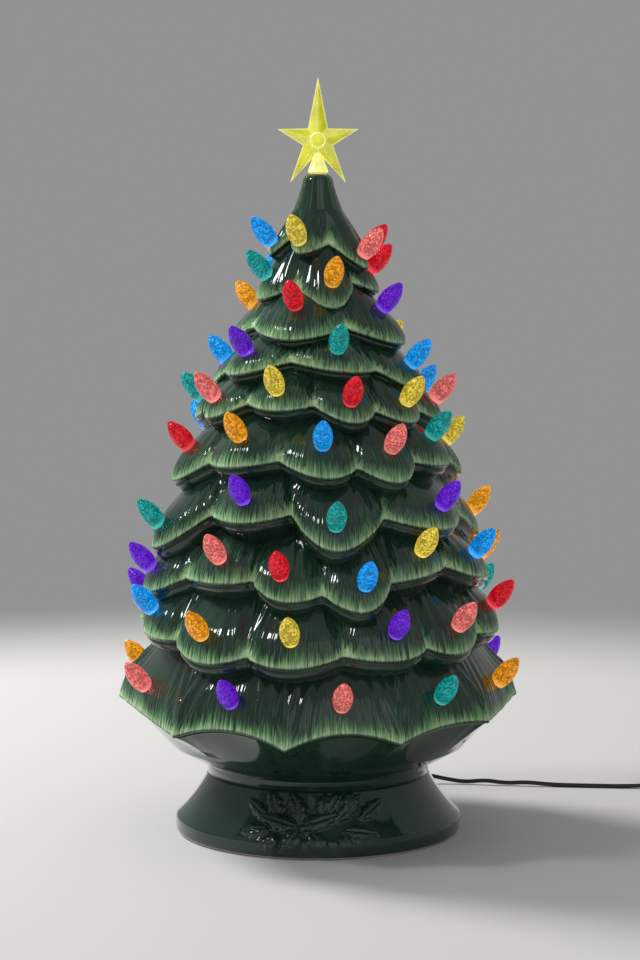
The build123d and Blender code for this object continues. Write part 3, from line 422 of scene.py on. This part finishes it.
def cord(name, route):
    """A cord along a route that rides on the foot."""
    curve = bpy.data.curves.new(name, "CURVE")
    curve.dimensions = "3D"
    curve.bevel_depth = CORD_RADIUS * MM
    curve.bevel_resolution = 5
    curve.resolution_u = 6
    curve.use_fill_caps = True
    spline = curve.splines.new("NURBS")
    spline.points.add(len(route) - 1)
    for point, place in zip(spline.points, route):
        point.co = (*[MM * value for value in place], 1)
    spline.order_u = 3
    spline.use_endpoint_u = True
    made = bpy.data.objects.new(name, curve)
    scene.collection.objects.link(made)
    made.data.materials.append(cord_stuff)
    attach(made, "base")
    return made


turns = [step / COIL_STEPS for step in range(int(COIL_STEPS * COIL_LAYERS * LAYER_TURNS) + 5)]
lead = cord("lead_cord", LEAD_ROUTE)
main_cord = cord("main_cord", RUN_ROUTE + [coil_point(turn) for turn in turns] + TAIL_ROUTE)
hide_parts("cord_to_switch")
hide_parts("cord_run", "cord_coil", "cord_tail")


# Tree
def polar(radius, angle, height):
    """Points round the axis; angle 0 is the front."""
    turn = np.radians(angle)
    return np.stack(np.broadcast_arrays(radius * np.sin(turn), -radius * np.cos(turn), height), -1)


def halfway(start, end):
    """Angle halfway from one angle on to the next."""
    return start + ((end - start) % 360) / 2


def arc_profile(start, middle, end, count):
    """Points (radius, height) along the circle through three such points."""
    left, middle, right = [np.array([radius, 0, height]) for radius, height in (start, middle, end)]
    one, two = middle - left, right - left
    normal = np.cross(one, two)
    aside = np.cross(normal, one) * two.dot(two) + np.cross(two, normal) * one.dot(one)
    centre = left + aside / (2 * normal.dot(normal))
    out = left - centre
    side = np.cross(normal / np.linalg.norm(normal), out)
    whole = math.atan2((right - centre).dot(side), (right - centre).dot(out)) % (2 * math.pi)
    turn = whole * np.linspace(0, 1, count)[:, None]
    return [(spot[0], spot[2]) for spot in centre + np.cos(turn) * out + np.sin(turn) * side]


def ease(value, low, high):
    """A soft step from 0 at low to 1 at high, for numbers and arrays."""
    share = np.clip((value - low) / (high - low), 0, 1)
    return share * share * (3 - 2 * share)


def knee_of(place, size, bend=1.0):
    """Where a bough bends down, above a place on its lip."""
    return place[0] - bend * KNEE_REACH * size, place[1] + bend * KNEE_RISE * size


def creases(tier, root):
    """Angle and lip of each crease, the first one before the first bough."""
    radius, height, crease, angles, lifts = tier
    found = []
    for i, angle in enumerate(angles):
        gap = (angle - angles[i - 1]) % 360
        lift = (lifts[i - 1] + lifts[i]) / 2
        half_way = radius * math.sin(math.radians(min(gap, 90) / 2))
        depth = min(crease * VALLEY_DEPTH * (radius - root[0]), VALLEY_LIMIT * half_way)
        rise = crease * VALLEY_RISE * (root[1] - height)
        found.append((angle - gap / 2, (radius - BOUGH_SLOPE * lift - depth, height + lift + rise)))
    return found


def under(tier, root):
    """Root of the next tier and the hidden end of this one."""
    valleys = [place for _, place in creases(tier, root)]
    inner = min(radius for radius, _ in valleys) - UNDER_REACH * tier[0]
    upper = max(height for _, height in valleys) - UNDER_DROP * tier[0]
    lower = min(tier[1] + lift for lift in tier[4]) - UNDER_DROP * tier[0]
    return (inner - 2.0, upper + 5.0), (inner - 8.0, lower - 2.0)


def tier_boughs(tier, root):
    """Angles, knees and lips of crease, tip and crease for each bough."""
    radius, height, _, angles, lifts = tier
    valleys = creases(tier, root)
    boughs = []
    for i, (angle, lift) in enumerate(zip(angles, lifts)):
        (start, left), (end, right) = valleys[i], valleys[(i + 1) % len(valleys)]
        tip = (radius - BOUGH_SLOPE * lift, height + lift)
        first, last = [knee_of(valley, radius, KNEE_IN_CREASE) for valley in (left, right)]
        boughs.append(((start, angle, end), (first, knee_of(tip, radius), last), (left, tip, right)))
    return boughs


def skirt_boughs():
    """The same for the bottom tier, whose points stand where other tiers have creases."""
    count = len(POINT_ANGLES)
    boughs = []
    for i in range(count):
        after = (i + 1) % count
        start, end = POINT_ANGLES[i], POINT_ANGLES[after]
        left, right = (POINT[0], POINT[1] + POINT_LIFTS[i]), (POINT[0], POINT[1] + POINT_LIFTS[after])
        knees = (knee_of(left, POINT[0]), knee_of(CREST, CREST[0]), knee_of(right, POINT[0]))
        boughs.append(((start, halfway(start, end), end), knees, (left, CREST, right)))
    return boughs


def parabola(angles, places, share):
    """Points from crease to crease, with the tip halfway."""
    start, tip, end = [polar(place[0], angle, place[1]) for angle, place in zip(angles, places)]
    t = share[:, None]
    return (1 - t) ** 2 * start + 2 * t * (1 - t) * (2 * tip - (start + end) / 2) + t ** 2 * end


def unit(vectors):
    """Vectors of length 1."""
    return vectors / np.linalg.norm(vectors, axis=-1, keepdims=True)


LIP = 2.4               # radius of the rolled lip
NEEDLE = 4.4            # width of a brushed groove
NEEDLE_DEPTH = 0.9
PAINT = 22.0            # the brushed rim fades over this length
BEND = 0.5              # share of the rows that lies before the knee's curve
STRAIGHT = 0.7          # share of the way to the knee that is straight
KNEE_FILL = 0.6         # how far the curve is pulled out to the knee
BOUGH_ROWS = 31
COLUMN_WIDTH = 1.05
CREASE_DEPTH, CREASE_WIDTH = 1.6, 4.0
POINT_RIDGE = 0.8       # the bottom tier's points are raised by this share of a crease
FOLD_WIDTH, FOLD_REACH = 17, 24
FLAT_FOLD, DEEP_FOLD = 0.6, 1.2
DEEP_FROM = 6           # the tiers from this one on have the deep folds
LIP_STEPS, LIP_STEP = 6, 22     # steps round the lip and the degrees of each
UNDER_ROWS = 8
TUCK_IN, TUCK_DOWN = 0.09, 0.095    # from the lip to the underside, as shares of the tier's radius
BELLY = 0.03
UP, DOWN = np.array([0, 0, 1.0]), np.array([0, 0, -1.0])


def tier_columns(boughs, root, hidden):
    """Root, knee, lip and hidden end of each column, its bough's span and its share of that."""
    parts = []
    for angles, knees, lips in boughs:
        rough = parabola(angles, lips, np.linspace(0, 1, 30))
        length = np.linalg.norm(np.diff(rough, axis=0), axis=1).sum()
        count = max(20, int(length / COLUMN_WIDTH))
        share = np.arange(count) / count
        turn = angles[0] + share * ((angles[2] - angles[0]) % 360)
        parts.append((
            polar(root[0], turn, root[1]), parabola(angles, knees, share), parabola(angles, lips, share),
            polar(hidden[0], turn, hidden[1]), np.full(count, length), share,
        ))
    return [np.concatenate(column) for column in zip(*parts)]


class TierSkin:
    """Rows of points from the root of a tier over its carved boughs and rolled lip to the dark underside.

    Each point has its reach from the root, the brush's paint, the ridge of its groove and its place across.
    """

    def __init__(self, boughs, root, hidden, size, number, skirt=False):
        self.size, self.number, self.skirt = size, number, skirt
        self.seed = 1.7 * number
        self.top, knee, self.lip, self.low, span, self.share = tier_columns(boughs, root, hidden)
        self.first = self.top + STRAIGHT * (knee - self.top)
        self.control = knee + KNEE_FILL * (0.5 * knee - 0.25 * self.first - 0.25 * self.lip)
        self.out = unit(self.lip * np.array([1, 1, 0]))
        self.x = (self.share - 0.5) * span
        self.to_crease = np.minimum(self.share, 1 - self.share) * span
        self.across = self.x + 97.0 * number + 31.0 * np.cumsum(self.share == 0)
        self.rows, self.reach, self.brush, self.ridge = [], [], [], []
        self.roll_lip(*self.carve())
        self.close_below()

    def add_row(self, points, reach, brush, ridge):
        """A row of points, with numbers for the whole row or for each point."""
        self.rows.append(points)
        for values, new in ((self.reach, reach), (self.brush, brush), (self.ridge, ridge)):
            values.append(np.zeros(len(points)) + new)

    def plain(self, v):
        """Places and directions on the smooth boughs, at a share of the way from root to lip."""
        if v <= BEND:
            return self.top + (v / BEND) * (self.first - self.top), self.first - self.top
        w = (v - BEND) / (1 - BEND)
        spot = (1 - w) ** 2 * self.first + 2 * w * (1 - w) * self.control + w ** 2 * self.lip
        return spot, 2 * (1 - w) * (self.control - self.first) + 2 * w * (self.lip - self.control)

    def normals(self, along, tangent):
        """Outward normals, evened out between neighbours."""
        normal = unit(np.cross(along, tangent))
        normal *= np.sign((normal * (self.out + UP)).sum(1, keepdims=True))
        for _ in range(3):
            normal = unit(np.roll(normal, 1, 0) + 2 * normal + np.roll(normal, -1, 0))
        return normal

    def carve(self):
        """The boughs with grooves, creases and folds; gives the last row's frame, groove and carving."""
        x, seed, to_crease = self.x, self.seed, self.to_crease
        tangent = unit(np.roll(self.lip, -2, 0) - np.roll(self.lip, 2, 0))
        length = np.linalg.norm(self.lip - self.top, axis=1)
        arch = np.sqrt(np.sin(math.pi * np.clip(self.share, 0.001, 0.999)))
        for step in range(BOUGH_ROWS):
            v = 1 - (1 - step / (BOUGH_ROWS - 1)) ** 1.2
            spot, along = self.plain(v)
            along = unit(along)
            normal = self.normals(along, tangent)
            fan = x / (0.6 + 0.4 * v)
            phase = math.pi * fan / NEEDLE + 0.9 * np.sin(0.31 * x + seed)
            phase += 0.7 * np.sin(0.117 * x + 2.3 * seed + 2 * v)
            groove = np.abs(np.sin(phase)) ** 0.7 - 0.7
            depth = NEEDLE_DEPTH * ease(v, 0.3, 0.75) * (0.7 + 0.3 * np.sin(0.21 * x + 3 * seed))
            swell = 0.02 * length * math.sin(math.pi * v) * arch
            crease = np.exp(-(to_crease * (0.4 + 0.6 * v) / CREASE_WIDTH) ** 2)
            if self.skirt:
                crease = -POINT_RIDGE * crease
            fold = DEEP_FOLD if self.number >= DEEP_FROM else FLAT_FOLD
            fold = fold * np.sin(2 * math.pi * fan / FOLD_WIDTH + seed)
            fold *= np.exp(-(to_crease / FOLD_REACH) ** 2)
            lift = groove * depth + swell - CREASE_DEPTH * crease * ease(v, 0.05, 0.5)
            lift += fold * ease(v, 0.1, 0.5) * (1 - 0.6 * v)
            self.add_row(spot + normal * lift[:, None], v, 0.25 * np.abs(crease) * ease(v, 0.2, 0.8), groove)
        steps_down = [np.linalg.norm(below - above, axis=1) for above, below in zip(self.rows, self.rows[1:])]
        for i in range(BOUGH_ROWS):
            to_lip = sum(steps_down[i:], np.zeros(len(x)))
            self.brush[i] = self.brush[i] + 1.05 - to_lip / (PAINT * (0.8 + 0.2 * np.sin(0.13 * x + seed)))
        return along, normal, groove, groove * depth

    def roll_lip(self, along, normal, groove, carved):
        """The lip, rolled in under the last row."""
        centre = self.rows[-1] - normal * (LIP + carved)[:, None]
        for step in range(1, LIP_STEPS + 1):
            turn = math.radians(LIP_STEP * step)
            way = normal * math.cos(turn) + along * math.sin(turn)
            row = centre + way * (LIP + carved * max(0.0, math.cos(turn)))[:, None]
            self.add_row(row, 1 + 0.01 * step, 1.0 - 0.35 * step, groove)

    def close_below(self):
        """The underside: tucked in behind the next tier, or the bowl under the bottom one."""
        stops = [self.lip - TUCK_IN * self.size * self.out + TUCK_DOWN * self.size * DOWN, self.low]
        bulge = self.out
        if self.skirt:
            turn = np.degrees(np.arctan2(self.lip[:, 0], -self.lip[:, 1]))
            belt = [polar(BELT[0] + 1.5, turn, BELT[1] + 2.0), polar(BELT[0] - 2.5, turn, BELT[1] - 2.0)]
            stops = belt + [self.low]
            bulge = 0.5 * (self.out - DOWN)
        last = self.rows[-1]
        for order, stop in enumerate(stops):
            belly = BELLY * self.size if order == 0 else 0.0
            for step in range(1, UNDER_ROWS + 1):
                share = step / UNDER_ROWS
                row = last + (stop - last) * share + belly * math.sin(math.pi * share) * bulge
                self.add_row(row, 1.2 + share, -1.0, 0.0)
            last = stop


def lathe(profile, columns):
    """Rows of points turned round the axis."""
    angle = 360 * np.arange(columns) / columns
    return [polar(np.full(columns, radius), angle, np.full(columns, height)) for radius, height in profile]


class Shell:
    """Collects grids of points in millimetres, with what the paint needs, into one mesh."""

    def __init__(self):
        self.points, self.faces, self.reach, self.brush, self.ridge, self.across = [], [], [], [], [], []
        self.count = 0

    def grid(self, rows, reach=None, brush=None, ridge=None, across=None):
        """Rows of a grid; what isn't given is unpainted."""
        columns = len(rows[0])
        self.faces += grid_faces(len(rows), columns, self.count, flip=True)
        self.points += rows
        nothing = [np.zeros(columns)] * len(rows)
        self.reach += reach or nothing
        self.brush += brush or [np.full(columns, -1.0)] * len(rows)
        self.ridge += ridge or nothing
        self.across += [across if across is not None else np.zeros(columns)] * len(rows)
        self.count += columns * len(rows)

    def tier(self, skin):
        """The grid of a tier."""
        self.grid(skin.rows, skin.reach, skin.brush, skin.ridge, skin.across)

    def object(self, name, stuff, body):
        """The mesh, riding on a body."""
        extra = {key: np.concatenate(getattr(self, key)) for key in ("reach", "brush", "ridge", "across")}
        return mesh_object(name, np.concatenate(self.points) * MM, self.faces, stuff, body, extra)


CROWN_TOP = [
    (0.01, 533.0), (3.9, 533.0), (6.2, 533.0), (8.6, 532.4), (10.8, 530.8), (12.0, 528.6), (12.6, 526.0),
]
CROWN_FOOT, CROWN_FALL = 19.6, 21.0     # radius at the first tier and height down to it
CROWN_STEPS, CROWN_COLUMNS = 8, 96
INSIDE_COLUMNS = 128


def crown_profile():
    """The round top and the flare down to the first tier."""
    flare = []
    for step in range(1, CROWN_STEPS + 1):
        radius = CROWN[0] + (CROWN_FOOT - CROWN[0]) * (step / CROWN_STEPS) ** 1.15
        flare.append((radius, CROWN_TOP[-1][1] - CROWN_FALL * step / CROWN_STEPS))
    return CROWN_TOP + flare


def inner_profile():
    """The seam, the neck's bore and a plain hollow inside the part's lobed one."""
    necks = []
    root = CROWN_ROOT
    for tier in TIERS:
        below, hidden = under(tier, root)
        necks.append((max(hidden[0] - 1.5 * WALL, 8.0), below[1] - WALL))
        root = below
    profile = [(NECK[0], NECK[1] + 1), (NECK[0], SEAM), (BORE, SEAM), (BORE, NECK[1] + 0.4 * WALL)]
    profile += [(BELT[0] - 0.4 * WALL, BELT[1] + 1.1 * WALL), (CREST[0] - 2 * WALL, CREST[1])]
    profile += [(CREST[0] - 2 * WALL, CREST[1] + 1.5 * WALL)]
    return profile + necks[::-1] + [(3.9, CROWN[1] - 1.5 * WALL), (0.01, CROWN[1] - 1.5 * WALL)]


def make_shell():
    """The tree's casting: crown, tiers, bottom tier with its bowl, and the inside."""
    made = Shell()
    rows = lathe(crown_profile(), CROWN_COLUMNS)
    half, little = [[np.full(CROWN_COLUMNS, value)] * len(rows) for value in (0.5, 0.3)]
    made.grid(rows, reach=half, brush=little, across=0.9 * np.arange(CROWN_COLUMNS))
    root = CROWN_ROOT
    for number, tier in enumerate(TIERS):
        below, hidden = under(tier, root)
        made.tier(TierSkin(tier_boughs(tier, root), root, hidden, tier[0], number))
        root = below
    made.tier(TierSkin(skirt_boughs(), root, NECK, POINT[0], len(TIERS), skirt=True))
    made.grid(lathe(inner_profile(), INSIDE_COLUMNS))
    return made.object("tree_shell", glaze_material("brushed_green_glaze", True), "tree")


shell = make_shell()
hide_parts("ceramic_tree")


# Bulbs
BULB_LENGTH, BULB_RADIUS, BULB_COLLAR = 29.5, 8.2, 5.8
BULB_TIP = 3.0          # radius of the round tip
BULB_FOOT = 0.4         # height of the collar's underside over the seat
BULB_PEG = 9.0
BULB_COLUMNS = 36
BULB_SCALE = 0.95       # the eggs are a little slimmer than their solids, as in the photograph
FLAT_END = 3e-5         # metres; points as near as this to the end lie on its flat circle


def solids_of(node):
    """Corner points of each separate solid of a node, in metres."""
    mesh = node.data
    co = np.zeros(3 * len(mesh.vertices))
    mesh.vertices.foreach_get("co", co)
    places, owner = np.unique(np.round(co.reshape(-1, 3), 6), axis=0, return_inverse=True)
    parent = list(range(len(places)))

    def top(i):
        while parent[i] != i:
            parent[i] = parent[parent[i]]
            i = parent[i]
        return i

    owner = owner.reshape(-1)
    for edge in mesh.edges:
        parent[top(owner[edge.vertices[0]])] = top(owner[edge.vertices[1]])
    groups = {}
    for i in range(len(places)):
        groups.setdefault(top(i), []).append(places[i])
    return [np.array(group) for group in groups.values()]


def bulb_axis(points):
    """Seat and direction of a bulb: its peg ends in a flat circle and its egg in one point."""
    axis = np.linalg.svd(points - points.mean(0))[2][0]
    along = points @ axis
    if (along > along.max() - FLAT_END).sum() > (along < along.min() + FLAT_END).sum():
        axis, along = -axis, -along
    peg = points[along < along.min() + FLAT_END].mean(0)
    axis = unit(points[along.argmax()] - peg)
    return peg + BULB_PEG * MM * axis, axis


def bulb_profile():
    """Collar, egg and round tip as (radius, height)."""
    centre = BULB_LENGTH - BULB_TIP

    def on_tip(rise):
        return BULB_TIP * math.cos(rise), centre + BULB_TIP * math.sin(rise)

    shoulder = on_tip(math.radians(25.0))
    sides = arc_profile((BULB_COLLAR, BULB_FOOT), (BULB_RADIUS, BULB_LENGTH / 3), shoulder, 22)
    tip = [on_tip(rise) for rise in np.radians([40, 55, 70, 82, 89.5])]
    return [(0.01, BULB_FOOT), (5.2, BULB_FOOT)] + sides + tip


def make_bulbs(colour):
    """All bulbs of a colour, each one on the seat of its solid."""
    profile = bulb_profile()
    turn = 2 * math.pi * np.arange(BULB_COLUMNS) / BULB_COLUMNS
    points, faces, stand = [], [], []
    solids = sorted(solids_of(nodes[f"{colour}_bulbs"]), key=lambda group: tuple(group.mean(0)))
    for k, solid in enumerate(solids):
        seat, axis = bulb_axis(solid)
        side = unit(np.cross(axis, [0.3, 0.2, 0.9]))
        other = np.cross(axis, side)
        faces += grid_faces(len(profile), BULB_COLUMNS, len(points) * BULB_COLUMNS)
        for radius, height in profile:
            ripple = 1 + 0.012 * np.sin(7 * turn + height * 1.9 + k) * min(1, height / 6)
            ring = radius * ripple[:, None] * (np.cos(turn)[:, None] * side + np.sin(turn)[:, None] * other)
            points.append(seat + BULB_SCALE * MM * (ring + height * axis))
            stand.append(np.full(BULB_COLUMNS, height))
    stuff = bulb_material(f"{colour}_bulb", BULB_COLOURS[colour])
    stands = {"stand": np.concatenate(stand)}
    made = mesh_object(f"{colour}_bulb_set", np.concatenate(points), faces, stuff, "tree", stands)
    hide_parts(f"{colour}_bulbs")


for colour in BULB_COLOURS:
    make_bulbs(colour)

# Base, as (radius, height); the edge and the flare are arcs through three points.
FOOT_INSIDE = [(11.3, 36.0), (90.5, 36.0), (108.1, 12.5), (106.3, 0.3), (106.3, 0.0)]
FOOT_EDGE = [(112.5, 0.0), (115.3, 1.2), (116.5, 4.0)]
FOOT_BAND = [(116.5, 6.5), (116.5, 9.5), (116.4, 12.0), (116.0, 13.6)]
FOOT_FLARE = [(114.5, 14.9), (101.3, 30.25), (90.5, 48.0)]
FOOT_DECK = [
    (90.2, 48.0), (78.2, 48.0), (78.2, 54.0), (72.2, 54.0), (72.2, 42.0), (11.3, 42.0), (11.3, 36.0),
]
FOOT_COLUMNS = 740
BARE_HEIGHT = 1.3       # the glaze is wiped off below this height


def base_profile():
    """The foot from under its deck over the outside to the deck's hole, and its outside's ends in the list."""
    outside = arc_profile(*FOOT_EDGE, 7) + FOOT_BAND + arc_profile(*FOOT_FLARE, 60)
    first = len(FOOT_INSIDE)
    return FOOT_INSIDE + outside + FOOT_DECK, first, first + len(outside)


# Leaves of the relief on the front: place across and up the foot, direction in degrees, length, half width.
LEAVES = [
    (-12, 30, 20, 30, 8.0), (-14, 32, 95, 24, 7.5), (-16, 29, 165, 32, 8.0), (-14, 26, 235, 27, 8.0),
    (-8, 26, 310, 26, 7.5), (14, 34, 48, 30, 7.0), (20, 26, -12, 30, 7.0), (18, 22, -65, 22, 6.5),
    (-38, 34, 140, 26, 6.5), (-40, 27, 195, 24, 6.5), (-34, 22, 250, 20, 6.0), (2, 40, 78, 18, 6.0),
    (-32, 38, 104, 22, 7.5), (-14, 41, 112, 19, 7.0), (8, 42, 62, 20, 7.5), (24, 40, 88, 20, 7.5),
    (34, 36, 38, 24, 7.0),
]
BERRIES = [(-12, 29), (-6, 31), (-9, 24.5)]
BERRY = 3.4             # radius and height
RELIEF_RISES = (3.0, 9.0)       # heights between which the relief comes up
RELIEF_ENDS = (45.5, 47.8)      # and goes out again, below the seam


def relief(across, up):
    """Height of holly leaves and berries on the front of the foot."""
    raised = np.zeros_like(across)
    for order, (x, y, direction, length, half) in enumerate(LEAVES):
        turn = math.radians(direction)
        t = ((across - x) * math.cos(turn) + (up - y) * math.sin(turn)) / length
        d = -(across - x) * math.sin(turn) + (up - y) * math.cos(turn)
        inside = np.clip(t, 0, 1)
        spines = 0.72 + 0.28 * np.abs(np.cos(3.5 * math.pi * inside))
        edge = half * np.sin(math.pi * inside ** 0.85) ** 0.75 * spines + 1e-6
        body = np.clip(1 - (np.abs(d) / edge) ** 3.5, 0, 1) * ((t > 0) & (t < 1))
        rib = 0.5 * np.exp(-(d / 0.9) ** 2)
        veins = 0.25 * np.cos(2 * math.pi * (t * 5 - np.abs(d) / half)) ** 8
        thick = 2.6 + 0.3 * (order % 4) + np.sin(math.pi * inside)
        raised = np.maximum(raised, np.sqrt(body) * thick - 1.8 * (rib + veins) * body)
    for x, y in BERRIES:
        away = ((across - x) ** 2 + (up - y) ** 2) / BERRY ** 2
        raised = np.maximum(raised, BERRY * np.sqrt(np.clip(1 - away, 0, 1)))
    return raised


def foot_glaze():
    """The plain glaze, wiped off the ring that stands on the table."""
    made = glaze_material("foot_glaze", False)
    tree = made.node_tree
    shader = tree.nodes["Principled BSDF"]
    glazed = shader.inputs["Base Color"].links[0].from_socket
    clay = ramp(tree, noise(tree, coordinates(tree), 300, 4), BARE_CLAY)
    tree.links.new(mix_colour(tree, attribute(tree, "bare"), glazed, clay), shader.inputs["Base Color"])
    return made


def make_base():
    """The foot with its relief."""
    profile, first, last = base_profile()
    angle = 360 * np.arange(FOOT_COLUMNS) / FOOT_COLUMNS
    signed = (angle + 180) % 360 - 180
    line = np.array(profile)
    ways = np.gradient(line, axis=0)
    steps = np.linalg.norm(np.diff(line, axis=0), axis=1)
    travelled = np.concatenate([[0], np.cumsum(steps)])
    fade_low, fade_high = RELIEF_ENDS
    rows, bare = [], []
    for i, (radius, height) in enumerate(profile):
        push = np.zeros(FOOT_COLUMNS)
        if first <= i < last:
            up = np.full(FOOT_COLUMNS, travelled[i] - travelled[first])
            push = relief(np.radians(signed) * radius, up)
            push *= ease(height, *RELIEF_RISES) * ease(-height, -fade_high, -fade_low)
        way = ways[i] / np.linalg.norm(ways[i])
        rows.append(polar(radius + push * way[1], angle, height - push * way[0]))
        bare.append(np.full(FOOT_COLUMNS, 1.0 if height < BARE_HEIGHT or first - 3 < i < first else 0.0))
    faces = grid_faces(len(rows), FOOT_COLUMNS)
    points = np.concatenate(rows) * MM
    made = mesh_object("foot", points, faces, foot_glaze(), "base", {"bare": np.concatenate(bare)})
    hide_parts("ceramic_base")


make_base()

# Star
STAR_TOP = 610.0
STAR_HUB = 559.5
STAR_SIDE = [(8.0, 9.5), (32.5, 9.0), (12.0, -4.0), (22.3, -33.5), (0.0, -9.5)]
STAR_EDGE, STAR_PEAK = 1.5, 7.5     # half thickness at the outline and in the middle
STAR_COLUMNS = 40
FACET_STEPS = 16
# Turned parts of the star: radius, height and painted light, a lighter colour that stands in for light in the
# hub's ring and the stem.
HUB = [
    (0.01, 7.5, 0.25), (3.0, 7.4, 0.1), (4.9, 6.9, 0.1), (5.2, 6.9, 0.5), (5.9, 7.5, 1.0), (6.5, 6.6, 0.7),
    (6.5, 3.0, 0.3),
]
STEM = [
    (3.6, 521.0, 0.4), (3.6, 533.3, 0.9), (7.2, 533.3, 1.0), (8.2, 534.3, 1.0), (8.0, 536.3, 0.9),
    (5.6, 542.0, 0.75), (3.6, 548.0, 1.0), (3.6, 550.0, 0.8),
]


def star_facet(corners, size, facet_light):
    """Points of a facet with its painted light, which is strong along its outline and weaker along its ridges;
    the last argument lightens the whole facet.
    """
    first, second, peak = [np.array(corner, float) for corner in corners]
    points, painted_glow = [], []

    def away(point, start, end):
        along = end - start
        share = np.clip((point - start).dot(along) / along.dot(along), 0, 1)
        return np.linalg.norm(point - start - share * along)

    for i in range(size + 1):
        for j in range(size + 1 - i):
            point = peak + (first - peak) * i / size + (second - peak) * j / size
            # Painted light: lighter along the outline and the ridges, standing in for light caught in the
            # acrylic's edges.
            rim = 0.9 * math.exp(-(away(point, first, second) / 0.9) ** 2)
            ridges = math.exp(-(min(away(point, first, peak), away(point, second, peak)) / 0.8) ** 2)
            points.append(point)
            painted_glow.append(max(rim, 0.4 * ridges, facet_light))
    faces = []
    starts = np.cumsum([0] + [size + 1 - i for i in range(size + 1)])
    for i in range(size):
        for j in range(size - i):
            one, below = starts[i] + j, starts[i + 1] + j
            faces.append((one, one + 1, below))
            if j < size - i - 1:
                faces.append((one + 1, below + 1, below))
    return points, faces, painted_glow


def star_material():
    """Tinted acrylic with painted light: it emits light all over, and a lighter colour is painted along its
    edges and ridges, over alternate facets and on the hub and stem.
    """
    made, tree, shader = material(
        "star_acrylic", (0.6, 0.58, 0.05), 0.1, Transmission_Weight=0.3, IOR=1.3, Coat_Weight=0.5
    )
    tint = ramp(tree, noise(tree, coordinates(tree), 70, 3), STAR_TINT)
    # painted light: the lighter colour is mixed in where the mesh's attribute of painted light says
    lit = mix_colour(tree, attribute(tree, "painted_glow"), tint, STAR_PAINTED_LIGHT)
    tree.links.new(lit, shader.inputs["Base Color"])
    tree.links.new(lit, shader.inputs["Emission Color"])
    # the whole star emits light though it is no lamp: painted light
    shader.inputs["Emission Strength"].default_value = 0.34
    return made


def make_star():
    """Ridged points, a round hub and the stem down to the crown."""
    side = [(x, STAR_HUB + z) for x, z in STAR_SIDE]
    outline = [(0.0, STAR_TOP)] + side + [(-x, z) for x, z in reversed(side[:-1])]
    points, faces, painted_glow = [], [], []

    def collect(new_points, new_faces, new_painted_glow):
        faces.extend([tuple(len(points) + corner for corner in face) for face in new_faces])
        points.extend(new_points)
        painted_glow.extend(new_painted_glow)

    def turned_part(profile, across):
        rings, painted_shine = [], []
        for radius, height, light in profile:
            for angle in 2 * math.pi * np.arange(STAR_COLUMNS) / STAR_COLUMNS:
                a, b = radius * math.cos(angle), radius * math.sin(angle)
                rings.append(np.array([a, height, STAR_HUB + b] if across else [a, b, height]))
                painted_shine.append(light)
        collect(rings, grid_faces(len(profile), STAR_COLUMNS), painted_shine)

    for k, ((x0, z0), (x1, z1)) in enumerate(zip(outline, outline[1:] + outline[:1])):
        for out in (-1, 1):
            corners = [(x0, STAR_EDGE * out, z0), (x1, STAR_EDGE * out, z1), (0, STAR_PEAK * out, STAR_HUB)]
            # alternate facets are painted lighter all over, standing in for light falling on one side of each
            # arm
            facet = star_facet(corners, FACET_STEPS, 0.22 * (k % 2))
            collect(facet[0], [face if out < 0 else face[::-1] for face in facet[1]], facet[2])
        # the thin edges between the faces are painted fully lit
        edge = [(x0, -STAR_EDGE, z0), (x1, -STAR_EDGE, z1), (x1, STAR_EDGE, z1), (x0, STAR_EDGE, z0)]
        collect([np.array(corner, float) for corner in edge], [(0, 1, 2, 3)], [1.0] * 4)
    # the hub ring and the stem carry the painted light of their tables
    for out in (-1, 1):
        turned_part([(radius, out * height, light) for radius, height, light in HUB], True)
    turned_part(STEM, False)
    made = mesh_object("star_points", np.array(points) * MM, faces, star_material(), "star", {"painted_glow": painted_glow})
    made.data.polygons.foreach_set("use_smooth", [False] * len(made.data.polygons))
    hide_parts("tree_star")


make_star()


# Small parts keep their solids and get their stuff
def dress(stuff, *names):
    """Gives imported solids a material."""
    for name in names:
        nodes[name].data.materials.clear()
        nodes[name].data.materials.append(stuff)


brass = grained("drawn_brass", (0.72, 0.5, 0.2), 0.3, 500, 0.0001, Metallic=1.0)
steel = grained("spring_steel", (0.55, 0.55, 0.57), 0.32, 500, 0.0001, Metallic=1.0)
nickel = grained("cap_nickel", (0.68, 0.66, 0.62), 0.25, 400, 0.0001, Metallic=1.0)
glass = grained("lamp_glass", (0.95, 0.92, 0.85), 0.1, 60, 0.0001, Transmission_Weight=0.7, IOR=1.45)
case = grained("switch_case", (0.015, 0.015, 0.016), 0.45, 350, 0.0002)
dress(grained("holder_urea", (0.75, 0.72, 0.65), 0.45, 260, 0.0001), "lamp_holder")
dress(brass, "holder_screw_shell", "holder_contact", "plug_blades")
dress(steel, "holder_clips", "switch_screws")
dress(nickel, "lamp_cap", "lamp_tip")
dress(glass, "lamp_globe")
dress(cord_stuff, "cord_in_base", "cord_relief")
dress(grained("tie_nylon", (0.02, 0.02, 0.02), 0.5, 300, 0.0001), "coil_tie")
dress(case, "switch_lower", "switch_upper", "plug_body")
dress(grained("rocker_gloss", (0.05, 0.05, 0.052), 0.2, 250, 0.0001), "switch_rocker")
